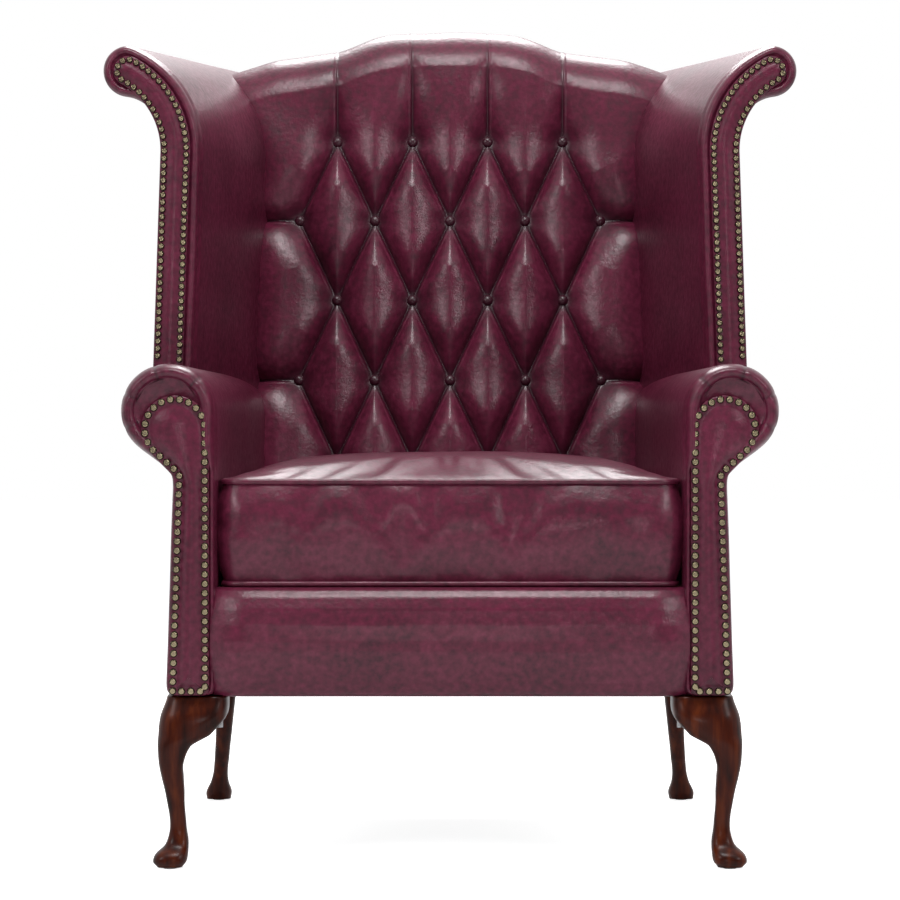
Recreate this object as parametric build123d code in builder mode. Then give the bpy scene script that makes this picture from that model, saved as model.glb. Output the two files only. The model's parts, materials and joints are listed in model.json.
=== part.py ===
"""Chesterfield wing armchair: camel top, scroll wings and arms, deep-buttoned back, cabriole legs.

X runs across the chair, Y from front to back and Z up. The origin is on the floor under its middle.
Right-hand pieces are on +X as the chair is seen from the front, and left-hand ones mirror them.
"""

import math
import os
from typing import NamedTuple

from build123d import *

# Overall sizes, in millimetres
overall_height = 1070.0
crown_rise = 53.0
leg_height = 207.0
rail_height = 124.0
seat_half_front = 282.0
seat_half_rear = 238.0
body_half_front = 343.0
body_half_rear = 331.0
front_face_y = -388.0
rear_face_y = 254.0
back_rake = 8.0

# Clearances and cut overruns
fit_gap = 0.3
overrun = 30.0
reach = 900.0
leather = 3.0
timber = 26.0

# Places that follow from the overall sizes
shoulder_height = overall_height - crown_rise
rail_bottom = leg_height
rail_top = rail_bottom + rail_height
loft_rear_y = 440.0
lean = math.tan(math.radians(back_rake))

# The back is built on its raked rear face, whose normal points forwards
back_face = Plane(
    origin=(0, rear_face_y, 0),
    x_dir=(1, 0, 0),
    z_dir=(0, -math.cos(math.radians(back_rake)), math.sin(math.radians(back_rake))),
)


def save(part, label):
    """Labels a finished piece and writes it as a STEP file of the same name."""
    part.label = label
    export_step(part, f"parts/{label}.step")


def save_pair(part, name):
    """Writes a right-hand piece and its mirror image on the left."""
    save(part, f"{name}_right")
    with BuildPart() as twin:
        mirror(part, about=Plane.YZ)
    save(twin.part, f"{name}_left")


def depth_share(y):
    """How far a depth lies along the body, from 0 at the front face to 1 at the rear of the lofts."""
    return (y - front_face_y) / (loft_rear_y - front_face_y)


def between(front, rear, y):
    """A width that changes evenly from the front face to the rear of the lofts."""
    return front + (rear - front) * depth_share(y)


os.makedirs("parts", exist_ok=True)


class ArmOutline(NamedTuple):
    """Front view of a scroll arm: a straight stem under a round roll."""

    inner: float
    outer: float
    neck_x: float
    neck_z: float
    roll_radius: float
    top: float
    bottom: float

    def grown(self, by):
        """The same outline with each side moved outwards."""
        return ArmOutline(
            self.inner - by,
            self.outer + by,
            self.neck_x + by,
            self.neck_z - by,
            self.roll_radius + by,
            self.top + by,
            self.bottom - by,
        )

    def roll_point(self, degrees):
        """A point of the roll, by its angle above the horizontal."""
        angle = math.radians(degrees)
        return (
            self.inner + self.roll_radius * (1 + math.cos(angle)),
            self.top - self.roll_radius * (1 - math.sin(angle)),
        )

    def tangent_degrees(self):
        """Where the line from the neck meets the roll."""
        across = self.neck_x - self.inner - self.roll_radius
        down = self.neck_z - self.top + self.roll_radius
        away = math.hypot(across, down)
        return math.degrees(math.atan2(down, across) + math.acos(self.roll_radius / away))

    def section(self, y):
        """The outline as a face at a depth."""
        join = self.tangent_degrees()
        top_degrees = 90
        with BuildSketch(Plane.XZ.offset(-y)) as face:
            with BuildLine():
                Line((self.inner, self.bottom), self.roll_point(2 * top_degrees))
                ThreePointArc(
                    self.roll_point(2 * top_degrees),
                    self.roll_point(1.5 * top_degrees),
                    self.roll_point(top_degrees),
                )
                ThreePointArc(
                    self.roll_point(top_degrees),
                    self.roll_point((top_degrees + join) / 2),
                    self.roll_point(join),
                )
                Line(self.roll_point(join), (self.neck_x, self.neck_z))
                Line((self.neck_x, self.neck_z), (self.outer, self.bottom))
                Line((self.outer, self.bottom), (self.inner, self.bottom))
            make_face()
        return face.sketch


class WingOutline(NamedTuple):
    """Front view of a scroll wing: an upright web that curls outwards into a small roll."""

    foot_inner: float
    foot_outer: float
    neck_inner: float
    neck_outer: float
    neck_inner_z: float
    neck_outer_z: float
    roll_x: float
    roll_radius: float
    top: float
    foot_z: float

    def grown(self, by):
        """The same outline with each side moved outwards."""
        return WingOutline(
            self.foot_inner - by,
            self.foot_outer + by,
            self.neck_inner - by,
            self.neck_outer + by,
            self.neck_inner_z,
            self.neck_outer_z,
            self.roll_x,
            self.roll_radius + by,
            self.top + by,
            self.foot_z - by,
        )

    def section(self, y):
        """The outline as a face at a depth."""
        roll_z = self.top - self.roll_radius
        diagonal = self.roll_radius * math.sqrt(1 / 2)
        crest = (self.roll_x, self.top)
        rim = (self.roll_x + self.roll_radius, roll_z)
        under = (self.roll_x, roll_z - self.roll_radius)
        neck_inner = (self.neck_inner, self.neck_inner_z)
        neck_outer = (self.neck_outer, self.neck_outer_z)
        with BuildSketch(Plane.XZ.offset(-y)) as face:
            with BuildLine():
                Line((self.foot_inner, self.foot_z), neck_inner)
                SagittaArc(neck_inner, crest, inner_curl_share * math.dist(neck_inner, crest))
                ThreePointArc(crest, (self.roll_x + diagonal, roll_z + diagonal), rim)
                ThreePointArc(rim, (self.roll_x + diagonal, roll_z - diagonal), under)
                SagittaArc(under, neck_outer, -outer_curl_share * math.dist(under, neck_outer))
                Line(neck_outer, (self.foot_outer, self.foot_z))
                Line((self.foot_outer, self.foot_z), (self.foot_inner, self.foot_z))
            make_face()
        return face.sketch


def web(front, rear):
    """A board or panel lofted between an outline in front and one behind, each a depth and its corners."""
    faces = []
    for y, corners in (front, rear):
        with BuildSketch(Plane.XZ.offset(-y)) as face:
            with BuildLine():
                Polyline(*corners, close=True)
            make_face()
        faces.append(face.sketch)
    with BuildPart() as board:
        loft(sections=faces, ruled=True)
    return board.part


def upright(x0, x1, z0, z1):
    """The corners of an upright rectangle in front view."""
    return [(x0, z0), (x1, z0), (x1, z1), (x0, z1)]


# Arm and wing outlines, at the front face and at the rear of the lofts
arm_height = 608.0
arm_height_rear = 592.0
arm_roll_radius = 57.0
arm_roll_radius_rear = 46.0
arm_neck_height = 476.0
arm_neck_inset = 10.0
arm_neck_inset_rear = 14.0
wing_front_y = -110.0
wing_foot_z = arm_height - arm_roll_radius
wing_neck_inner_z = 875.0
wing_neck_outer_z = 892.0
wing_roll_radius = 33.0
wing_roll_radius_rear = 20.0
wing_roll_x = 411.0
wing_roll_x_rear = 334.0
wing_spread = 48.0
wing_spread_neck = 37.0
wing_web = 51.0
inner_curl_share = 0.165
outer_curl_share = 0.2

arm_front = ArmOutline(
    inner=seat_half_front,
    outer=body_half_front,
    neck_x=body_half_front - arm_neck_inset,
    neck_z=arm_neck_height,
    roll_radius=arm_roll_radius,
    top=arm_height,
    bottom=rail_bottom,
)
arm_rear = ArmOutline(
    inner=seat_half_rear,
    outer=body_half_rear,
    neck_x=body_half_rear - arm_neck_inset_rear,
    neck_z=arm_neck_height,
    roll_radius=arm_roll_radius_rear,
    top=arm_height_rear,
    bottom=rail_bottom,
)
wing_front = WingOutline(
    foot_inner=seat_half_front + wing_spread,
    foot_outer=seat_half_front + wing_spread + wing_web,
    neck_inner=seat_half_front + wing_spread_neck,
    neck_outer=seat_half_front + wing_spread_neck + wing_web,
    neck_inner_z=wing_neck_inner_z,
    neck_outer_z=wing_neck_outer_z,
    roll_x=wing_roll_x,
    roll_radius=wing_roll_radius,
    top=shoulder_height,
    foot_z=wing_foot_z,
)
wing_rear = WingOutline(
    foot_inner=seat_half_rear - wing_spread / 2,
    foot_outer=body_half_rear,
    neck_inner=seat_half_rear - wing_spread / 2,
    neck_outer=body_half_rear - arm_neck_inset_rear / 2,
    neck_inner_z=wing_neck_inner_z,
    neck_outer_z=shoulder_height - 3 * wing_roll_radius_rear,
    roll_x=wing_roll_x_rear,
    roll_radius=wing_roll_radius_rear,
    top=shoulder_height,
    foot_z=wing_foot_z,
)

# Beech frame sizes
post_width = 32.0
post_depth = 44.0
post_outer = 316.0
rail_pad = 16.0
rail_inset = 8.0
stump_depth = 40.0
stump_width = 32.0
stump_inner = 296.0
stump_front = front_face_y + rail_pad
arm_board_height = 45.0
wing_board_thickness = 20.0
crest_rail_height = 62.0
tack_rail_height = 48.0
corner_block_leg = 62.0
corner_block_height = 60.0
wing_board_setback = 22.0
webbing_width = 50.0
webbing_thickness = 2.0
webbing_count = 5
hessian_thickness = 1.5
deck_height = 338.0
frame_bottom = rail_bottom + leather + fit_gap
frame_top = rail_top - rail_pad
post_top = shoulder_height - 2 * wing_roll_radius_rear
stump_top = arm_height - arm_roll_radius
post_face = leather + fit_gap + post_depth
hessian_near = post_face + webbing_thickness
pad_near = hessian_near + hessian_thickness + fit_gap
crest_half = post_outer - post_width - fit_gap
rear_rail_y = rear_face_y + lean * frame_bottom - leather - rail_inset


def back_slab(x0, x1, v0, v1, near, far):
    """A block on the raked back: across, up the slope, and forwards of the rear face."""
    with BuildPart() as block:
        with BuildSketch(back_face.offset(near)):
            with BuildLine():
                Polyline((x0, v0), (x1, v0), (x1, v1), (x0, v1), close=True)
            make_face()
        extrude(amount=far - near)
    return block.part


def block(x0, x1, y0, y1, z0, z1):
    """An upright block between opposite corners."""
    with BuildPart() as piece:
        with BuildSketch(Plane.XY.offset(z0)):
            with BuildLine():
                Polyline((x0, y0), (x1, y0), (x1, y1), (x0, y1), close=True)
            make_face()
        extrude(amount=z1 - z0)
    return piece.part


# Hanger bolts that hold the legs to the frame
bolt_radius = 4.0
bolt_length = 84.0
bolt_bottom = rail_bottom - bolt_length / 2
front_bolt = (stump_inner - timber * 0.6, stump_front + timber * 1.6)
rear_bolt = (post_outer - post_width * 0.35, rear_rail_y - timber * 0.45)


def bolt_solid(place, gap=0.0):
    """A hanger bolt, half in the leg and half in the frame."""
    with BuildPart() as bolt:
        with BuildSketch(Plane.XY.offset(bolt_bottom - gap)):
            with Locations(place):
                Circle(bolt_radius + gap)
        extrude(amount=bolt_length + 2 * gap)
    return bolt.part


# Back posts, raked, from the seat rails up into the wings
def post_solid(gap=0.0):
    """A back post, or the room that it needs where a gap is given."""
    return back_slab(
        post_outer - post_width - gap,
        post_outer + gap,
        frame_bottom - gap,
        post_top + gap,
        leather + fit_gap - gap,
        post_face + gap,
    )


with BuildPart() as back_post:
    add(post_solid())
    add(bolt_solid(rear_bolt, fit_gap), mode=Mode.SUBTRACT)
save_pair(back_post.part, "back_post")


# Arm stumps, the front posts that the arm facings are nailed to
def stump_solid(gap=0.0):
    """An arm stump, or the room that it needs where a gap is given."""
    return block(
        stump_inner - gap,
        stump_inner + stump_width + gap,
        stump_front - gap,
        stump_front + stump_depth + gap,
        frame_bottom - gap,
        stump_top + gap,
    )


with BuildPart() as arm_stump:
    add(stump_solid())
save_pair(arm_stump.part, "arm_stump")


# Seat rails between the stumps and the posts
def post_front_y(z):
    """The depth of the posts' front face at a height."""
    return rear_face_y + lean * z - post_face / math.cos(math.radians(back_rake))


def side_rail_corners(y, gap=0.0):
    """The side rail's corners in front view at a depth."""
    outside = between(body_half_front, body_half_rear, y) - leather - rail_inset
    return upright(outside - timber - gap, outside + gap, frame_bottom - gap, frame_top + gap)


def side_rail_solid(gap=0.0):
    """A side rail, or the room that it needs where a gap is given."""
    front = stump_front + stump_depth - gap
    rear = post_front_y(frame_bottom) - fit_gap + gap
    return web((front, side_rail_corners(front, gap)), (rear, side_rail_corners(rear, gap)))


with BuildPart() as side_seat_rail:
    add(side_rail_solid())
save_pair(side_seat_rail.part, "side_seat_rail")

with BuildPart() as front_seat_rail:
    add(block(-stump_inner, stump_inner, stump_front, stump_front + timber, frame_bottom, frame_top))
save(front_seat_rail.part, "front_seat_rail")

rear_rail_half = post_outer - post_width
rear_rail_front_y = rear_rail_y - timber
with BuildPart() as back_seat_rail:
    add(block(-rear_rail_half, rear_rail_half, rear_rail_front_y, rear_rail_y, frame_bottom, frame_top))
save(back_seat_rail.part, "back_seat_rail")

# Corner blocks, glued and screwed into the four corners of the seat frame
with BuildPart() as corner_blocks:
    for corner_x, corner_y, turn in (
        (stump_inner, stump_front + timber, 1),
        (rear_rail_half, rear_rail_front_y, -1),
    ):
        with BuildSketch(Plane.XY.offset(frame_bottom)):
            with BuildLine():
                Polyline(
                    (corner_x - fit_gap, corner_y + turn * fit_gap),
                    (corner_x - fit_gap - corner_block_leg, corner_y + turn * fit_gap),
                    (corner_x - fit_gap, corner_y + turn * (fit_gap + corner_block_leg)),
                    close=True,
                )
            make_face()
        extrude(amount=corner_block_height)
    add(bolt_solid(front_bolt, fit_gap), mode=Mode.SUBTRACT)
    mirror(about=Plane.YZ)
save(corner_blocks.part, "corner_blocks")


# Arm boards, from stump to post under the rolls
def arm_board_solid(gap=0.0):
    """An arm board, or the room that it needs where a gap is given."""
    corners = []
    front = stump_front + stump_depth - gap
    rear = post_front_y(arm_neck_height) - (pad_near - post_face) + gap
    for y in (front, rear):
        outside = between(arm_front.neck_x, arm_rear.neck_x, y) - leather - rail_inset
        corners.append(
            (
                y,
                upright(
                    outside - timber - gap,
                    outside + gap,
                    arm_neck_height - gap,
                    arm_neck_height + arm_board_height + gap,
                ),
            )
        )
    return web(*corners)


with BuildPart() as arm_board:
    add(arm_board_solid())
save_pair(arm_board.part, "arm_board")


# Wing boards, from the post forwards inside each wing
def wing_board_solid(gap=0.0):
    """A wing board, or the room that it needs where a gap is given."""
    front = wing_front_y + wing_board_setback - gap
    middle = (wing_front.foot_inner + wing_front.foot_outer) / 2
    ahead = upright(
        middle - wing_board_thickness / 2 - gap,
        middle + wing_board_thickness / 2 + gap,
        wing_foot_z - gap,
        wing_neck_inner_z + gap,
    )
    behind = upright(
        post_outer - wing_board_thickness - gap,
        post_outer + gap,
        wing_foot_z - gap,
        wing_neck_inner_z + gap,
    )
    with BuildPart() as board:
        add(web((front, ahead), (loft_rear_y, behind)))
        split(bisect_by=back_face.offset(post_face + fit_gap - gap), keep=Keep.TOP)
    return board.part


with BuildPart() as wing_board:
    add(wing_board_solid())
save_pair(wing_board.part, "wing_board")

# Padded arms: a scroll from the front face to the rear of the chair, hollowed over the frame
edge_round = 13.0
facing_inset = 7.0
facing_thickness = 5.0
border_half_width = seat_half_front + facing_inset - 3 * fit_gap
panel_setback = edge_round + leather


def arm_body(gap=0.0):
    """The whole arm, leather and all, with nothing cut from it."""
    ahead = arm_front.grown(gap).section(front_face_y)
    behind = arm_rear.grown(gap).section(loft_rear_y)
    with BuildPart() as body:
        loft(sections=(ahead, behind), ruled=True)
    return body.part


def seat_well():
    """The room inside the arms that the seat rails, blocks and springs take."""
    corners = []
    for y in (stump_front + stump_depth - fit_gap, loft_rear_y):
        outside = between(body_half_front, body_half_rear, y) - leather - rail_inset
        corners.append((y, upright(0, outside + fit_gap, frame_bottom - overrun, frame_top + fit_gap)))
    return web(*corners)


def back_well():
    """The room behind the stuffing that the back posts, crest rail, webbing and hessian take."""
    with BuildPart() as well:
        add(back_slab(0, post_outer + fit_gap, 0, post_top + fit_gap, 0, pad_near))
        add(back_slab(0, crest_half + fit_gap, 0, overall_height, 0, pad_near))
    return well.part


def outside_strip(outline, inset, stand_out, foot_drop):
    """The corners of the outside leather of an arm, on one of its outlines."""
    return [
        (outline.outer - inset, outline.bottom - foot_drop),
        (outline.outer + stand_out, outline.bottom - foot_drop),
        (outline.neck_x + stand_out, outline.neck_z),
        (outline.neck_x - inset, outline.neck_z),
    ]


def outline_at(front, rear, front_y, y):
    """An outline part of the way back along a loft."""
    share = (y - front_y) / (loft_rear_y - front_y)
    return type(front)(*(a + (b - a) * share for a, b in zip(front, rear)))


panel_front_y = front_face_y + panel_setback
arm_at_panel = outline_at(arm_front, arm_rear, front_face_y, panel_front_y)
with BuildPart() as outside_arm:
    add(
        web(
            (panel_front_y, outside_strip(arm_at_panel, leather, 0, 0)),
            (loft_rear_y, outside_strip(arm_rear, leather, 0, 0)),
        )
    )
    split(bisect_by=back_face.offset(leather + fit_gap), keep=Keep.TOP)
save_pair(outside_arm.part, "outside_arm_leather")

with BuildPart() as arm_pad:
    add(arm_body())
    front_edges = arm_pad.faces().sort_by(Axis.Y)[0].edges().filter_by_position(
        Axis.Z, rail_bottom + fit_gap, overall_height
    )
    fillet(front_edges, edge_round)
    split(bisect_by=back_face.offset(leather + fit_gap), keep=Keep.TOP)
    add(back_well(), mode=Mode.SUBTRACT)
    add(
        web(
            (panel_front_y - fit_gap, outside_strip(arm_at_panel, leather + fit_gap, overrun, overrun)),
            (loft_rear_y, outside_strip(arm_rear, leather + fit_gap, overrun, overrun)),
        ),
        mode=Mode.SUBTRACT,
    )
    add(
        block(
            0,
            border_half_width + fit_gap,
            front_face_y - overrun,
            stump_front + stump_depth,
            rail_bottom - overrun,
            deck_height + fit_gap,
        ),
        mode=Mode.SUBTRACT,
    )
    add(
        block(
            0,
            stump_inner + fit_gap,
            stump_front - fit_gap,
            stump_front + stump_depth,
            rail_bottom - overrun,
            frame_top + fit_gap,
        ),
        mode=Mode.SUBTRACT,
    )
    add(stump_solid(fit_gap), mode=Mode.SUBTRACT)
    add(seat_well(), mode=Mode.SUBTRACT)
    add(arm_board_solid(fit_gap), mode=Mode.SUBTRACT)
    add(wing_board_solid(fit_gap), mode=Mode.SUBTRACT)
save_pair(arm_pad.part, "arm_pad")

# Arm facings, leather panels nailed to the front of the arms, and their studs
facing_outer_inset = 5.0
facing_roll_radius = 41.0
facing_top = 569.5
facing_neck_drop = 6.0
facing_lift = 2.0
stud_radius = 4.6
stud_height = 2.6
stud_round = 2.0
stud_inset = 5.0
arm_stud_pitch = 11.3
facing_front_y = front_face_y - facing_thickness

arm_facing_outline = ArmOutline(
    inner=arm_front.inner + facing_inset,
    outer=arm_front.outer - facing_outer_inset,
    neck_x=arm_front.neck_x - facing_outer_inset + leather / 2,
    neck_z=arm_neck_height - facing_neck_drop,
    roll_radius=facing_roll_radius,
    top=facing_top,
    bottom=rail_bottom + facing_lift,
)
with BuildPart() as arm_facing:
    extrude(arm_facing_outline.section(front_face_y), amount=facing_thickness)
save_pair(arm_facing.part, "arm_facing")


def stud_row(wire, pitch, y, radius, lowest):
    """Domed nail heads at even steps along a line on the front of the chair, down to a height."""
    count = round(wire.length / pitch)
    places = []
    for i in range(count):
        point = wire.position_at((i + 1 / 2) / count)
        if point.Z > lowest:
            places.append((point.X, point.Z))
    with BuildPart() as studs:
        with BuildSketch(Plane.XZ.offset(-y)):
            with Locations(*places):
                Circle(radius)
        extrude(amount=stud_height)
        fillet(studs.edges().group_by(Axis.Y)[0], stud_round)
    return studs.part


arm_stud_line = arm_facing_outline.grown(-stud_inset).section(facing_front_y).faces()[0].outer_wire()
with BuildPart() as arm_studs:
    add(stud_row(arm_stud_line, arm_stud_pitch, facing_front_y, stud_radius, rail_bottom))
save_pair(arm_studs.part, "arm_studs")

# Padded wings: webs that curl outwards at the top, standing on the arms
wing_edge_round = 9.0
wing_facing_half = 19.0
wing_facing_thickness = 5.0
wing_facing_curl_share = 0.146
wing_stud_pitch = 9.3
wing_stud_row = 14.0
wing_stud_radius = 4.1


def wing_body(gap=0.0):
    """The whole wing, leather and all, with nothing cut from it."""
    ahead = wing_front.grown(gap).section(wing_front_y - gap)
    behind = wing_rear.grown(gap).section(loft_rear_y)
    with BuildPart() as body:
        loft(sections=(ahead, behind), ruled=True)
    return body.part


def wing_strip(outline, inset, stand_out):
    """The corners of the outside leather of a wing, on one of its outlines."""
    return [
        (outline.foot_outer - inset, outline.foot_z),
        (outline.foot_outer + stand_out, outline.foot_z),
        (outline.neck_outer + stand_out, outline.neck_outer_z),
        (outline.neck_outer - inset, outline.neck_outer_z),
    ]


wing_panel_front_y = wing_front_y + wing_edge_round + leather
wing_at_panel = outline_at(wing_front, wing_rear, wing_front_y, wing_panel_front_y)
with BuildPart() as outside_wing:
    add(
        web(
            (wing_panel_front_y, wing_strip(wing_at_panel, leather, 0)),
            (loft_rear_y, wing_strip(wing_rear, leather, 0)),
        )
    )
    split(bisect_by=back_face.offset(leather + fit_gap), keep=Keep.TOP)
    add(arm_body(fit_gap), mode=Mode.SUBTRACT)
save_pair(outside_wing.part, "outside_wing_leather")

with BuildPart() as wing_pad:
    add(wing_body())
    wing_front_edges = wing_pad.faces().sort_by(Axis.Y)[0].edges().filter_by_position(
        Axis.Z, wing_foot_z + fit_gap, overall_height
    )
    fillet(wing_front_edges, wing_edge_round)
    split(bisect_by=back_face.offset(leather + fit_gap), keep=Keep.TOP)
    add(back_well(), mode=Mode.SUBTRACT)
    add(
        web(
            (wing_panel_front_y - fit_gap, wing_strip(wing_at_panel, leather + fit_gap, overrun)),
            (loft_rear_y, wing_strip(wing_rear, leather + fit_gap, overrun)),
        ),
        mode=Mode.SUBTRACT,
    )
    add(arm_body(fit_gap), mode=Mode.SUBTRACT)
    add(wing_board_solid(fit_gap), mode=Mode.SUBTRACT)
save_pair(wing_pad.part, "wing_pad")


def wing_facing_line(half_width, y):
    """The outline of a strip up the front of a wing, round its curl to a round end."""
    foot = (wing_front.foot_outer - wing_facing_half, wing_foot_z)
    neck = (wing_front.neck_outer - wing_facing_half, wing_neck_inner_z)
    end = (wing_roll_x, shoulder_height - wing_roll_radius)
    with BuildLine(Plane.XZ.offset(-y)) as line:
        Line(foot, neck)
        SagittaArc(neck, end, wing_facing_curl_share * math.dist(neck, end))
        offset(amount=half_width, side=Side.BOTH)
    return line.wires()[0]


with BuildPart() as wing_facing:
    extrude(
        Face(wing_facing_line(wing_facing_half, wing_front_y)),
        amount=wing_facing_thickness,
        dir=(0, -1, 0),
    )
    add(arm_body(fit_gap), mode=Mode.SUBTRACT)
save_pair(wing_facing.part, "wing_facing")

wing_facing_front_y = wing_front_y - wing_facing_thickness
lowest_wing_stud = arm_height + wing_stud_radius
wing_stud_line = wing_facing_line(wing_stud_row, wing_facing_front_y)
with BuildPart() as wing_studs:
    add(stud_row(wing_stud_line, wing_stud_pitch, wing_facing_front_y, wing_stud_radius, lowest_wing_stud))
save_pair(wing_studs.part, "wing_studs")

# Camel top of the back: a hump that dips to the shoulders
camel_half = 276.0
camel_hump_half = 150.0
camel_hump_drop = 24.5
camel_dip_share = 0.024
camel_front = 118.0
camel_round = 34.0
crest_rail_drop = 26.0
rake_cos = math.cos(math.radians(back_rake))
rake_sin = math.sin(math.radians(back_rake))


def slope(height, forward=0.0):
    """The distance up the raked back of a height above the floor, some way forward of its rear face."""
    return (height - forward * rake_sin) / rake_cos


camel_top = slope(overall_height, camel_front - camel_round)
camel_shoulder = slope(shoulder_height, camel_front - camel_round)


def camel_face(half, bottom, drop, forward):
    """The camel outline on the raked back, some way down from the leather's."""
    hump = camel_top - camel_hump_drop - drop
    side = camel_shoulder - drop
    with BuildSketch(back_face.offset(forward)) as face:
        with BuildLine():
            ThreePointArc((-camel_hump_half, hump), (0, camel_top - drop), (camel_hump_half, hump))
            for turn in (1, -1):
                ends = (turn * camel_hump_half, hump), (turn * half, side)
                SagittaArc(*ends, turn * -camel_dip_share * math.dist(*ends))
            Polyline((-half, side), (-half, bottom), (half, bottom), (half, side))
        make_face()
    return face.sketch


def camel_solid(half, bottom, drop, near, far):
    """A block on the raked back under the camel curve."""
    with BuildPart() as camel:
        extrude(camel_face(half, bottom, drop, near), amount=far - near)
    return camel.part


back_bottom = slope(frame_top + timber)
crest_bottom = slope(shoulder_height - crest_rail_height)
with BuildPart() as crest_rail:
    add(camel_solid(crest_half, crest_bottom, crest_rail_drop, leather + fit_gap, post_face))
save(crest_rail.part, "crest_rail")

tack_rail_bottom = slope(frame_top + corner_block_leg)
with BuildPart() as tack_rail:
    add(
        back_slab(
            -crest_half,
            crest_half,
            tack_rail_bottom,
            tack_rail_bottom + tack_rail_height,
            leather + fit_gap,
            post_face,
        )
    )
save(tack_rail.part, "lower_back_rail")

# Webbing and hessian stretched over the front of the posts, which carry the stuffing
webbing_first = tack_rail_bottom + tack_rail_height
webbing_half = post_outer - wing_board_thickness - fit_gap
webbing_pitch = (crest_bottom - webbing_first - webbing_width) / (webbing_count - 1)
with BuildPart() as back_webbing:
    for i in range(webbing_count):
        strap_bottom = webbing_first + i * webbing_pitch
        add(
            back_slab(
                -webbing_half,
                webbing_half,
                strap_bottom,
                strap_bottom + webbing_width,
                post_face,
                hessian_near,
            )
        )
save(back_webbing.part, "back_webbing")

# Deep-buttoned back: buttons in a diamond grid, valleys between them and swollen leather
button_pitch = 103.4
button_row_pitch = 110.9
top_button_height = 920.0
button_valley = 128.0
button_swell = 21.0
dimple_radius = 11.5
dimple_depth = 3.0
button_radius = 10.0
button_height = 6.0
button_taper = 30
tuft_slope = 42
tie_radius = 1.5
tie_hole_radius = 2.5
row_button_counts = (4, 5, 4, 5, 4)
first_row = slope(top_button_height, button_valley)
swell_front = button_valley + button_swell

button_places = []
for row, count in enumerate(row_button_counts):
    for i in range(count):
        button_places.append(((i - (count - 1) / 2) * button_pitch, first_row - row * button_row_pitch))


def back_points(forward):
    """A plane on the raked back at each button, some way forward of the rear face."""
    planes = []
    for across, up_slope in button_places:
        centre = back_face.from_local_coords((across, up_slope, forward))
        planes.append(Plane(centre, x_dir=back_face.x_dir, z_dir=back_face.z_dir))
    return planes


button_seat = button_valley - dimple_depth
tuft_depth = swell_front - button_seat
crown_shares = ((0, 0), (0.5, 0.13), (0.85, 0.47), (1, 0.9))
with BuildPart() as tufted_back:
    add(camel_solid(camel_half, back_bottom, 0, pad_near, swell_front - camel_round))
    for start, end in zip(crown_shares, crown_shares[1:]):
        faces = []
        for forward_share, drop_share in (start, end):
            forward = swell_front - camel_round * (1 - forward_share)
            faces.append(camel_face(camel_half, back_bottom, camel_round * drop_share, forward))
        loft(sections=faces, ruled=True)
    add(camel_solid(camel_half, crest_bottom, 0, leather + fit_gap, pad_near))
    add(
        camel_solid(
            camel_half + overrun, crest_bottom - overrun, crest_rail_drop - fit_gap, leather, pad_near
        ),
        mode=Mode.SUBTRACT,
    )
    for turn in (1, -1):
        for body in (arm_body(fit_gap), wing_body(fit_gap)):
            add(body if turn > 0 else body.mirror(Plane.YZ), mode=Mode.SUBTRACT)
    for plane in back_points(pad_near - overrun):
        with BuildSketch(plane):
            Circle(tie_hole_radius)
        extrude(amount=reach, mode=Mode.SUBTRACT)
    for plane in back_points(button_seat):
        with BuildSketch(plane):
            Circle(dimple_radius)
        extrude(amount=tuft_depth, taper=-tuft_slope, mode=Mode.SUBTRACT)
save(tufted_back.part, "tufted_back")

with BuildPart() as back_buttons:
    for plane in back_points(button_seat):
        with BuildSketch(plane):
            Circle(button_radius)
        extrude(amount=button_height, taper=button_taper)
save(back_buttons.part, "back_buttons")

hessian_top = crest_bottom + webbing_width / 2
with BuildPart() as back_hessian:
    add(back_slab(-crest_half, crest_half, tack_rail_bottom, hessian_top, hessian_near, pad_near - fit_gap))
    for plane in back_points(post_face):
        with BuildSketch(plane):
            Circle(tie_hole_radius)
        extrude(amount=pad_near, mode=Mode.SUBTRACT)
save(back_hessian.part, "back_hessian")

# Waxed twines from the buttons through the stuffing, each held by a small leather toggle behind the hessian
toggle_length = 14.0
toggle_thickness = 1.4
tie_near = hessian_near - toggle_thickness - fit_gap
with BuildPart() as button_ties:
    for plane in back_points(tie_near):
        with BuildSketch(plane):
            RectangleRounded(toggle_length, toggle_length / 2, toggle_length / 5)
        extrude(amount=toggle_thickness)
        with BuildSketch(plane):
            Circle(tie_radius)
        extrude(amount=button_seat - fit_gap - tie_near)
    for i in range(webbing_count):
        strap_bottom = webbing_first + i * webbing_pitch
        add(
            back_slab(
                -post_outer,
                post_outer,
                strap_bottom - fit_gap,
                strap_bottom + webbing_width + fit_gap,
                0,
                hessian_near + fit_gap / 2,
            ),
            mode=Mode.SUBTRACT,
        )
save(button_ties.part, "button_ties")


# Outside back, one leather panel over the rear of the arms, wings and camel top
def outside_shoulder():
    """The right-hand side of the outside back, cut to the outline of the arm and the wing."""
    with BuildPart() as outline:
        add(arm_body())
        add(wing_body())
    with BuildPart() as shoulder:
        add(back_slab(0, reach, 0, overall_height, 0, leather))
        add(outline.part, mode=Mode.INTERSECT)
    return shoulder.part


with BuildPart() as outside_back:
    add(camel_solid(camel_half + overrun, slope(rail_bottom), 0, 0, leather))
    add(outside_shoulder())
    add(outside_shoulder().mirror(Plane.YZ))
save(outside_back.part, "outside_back")

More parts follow.
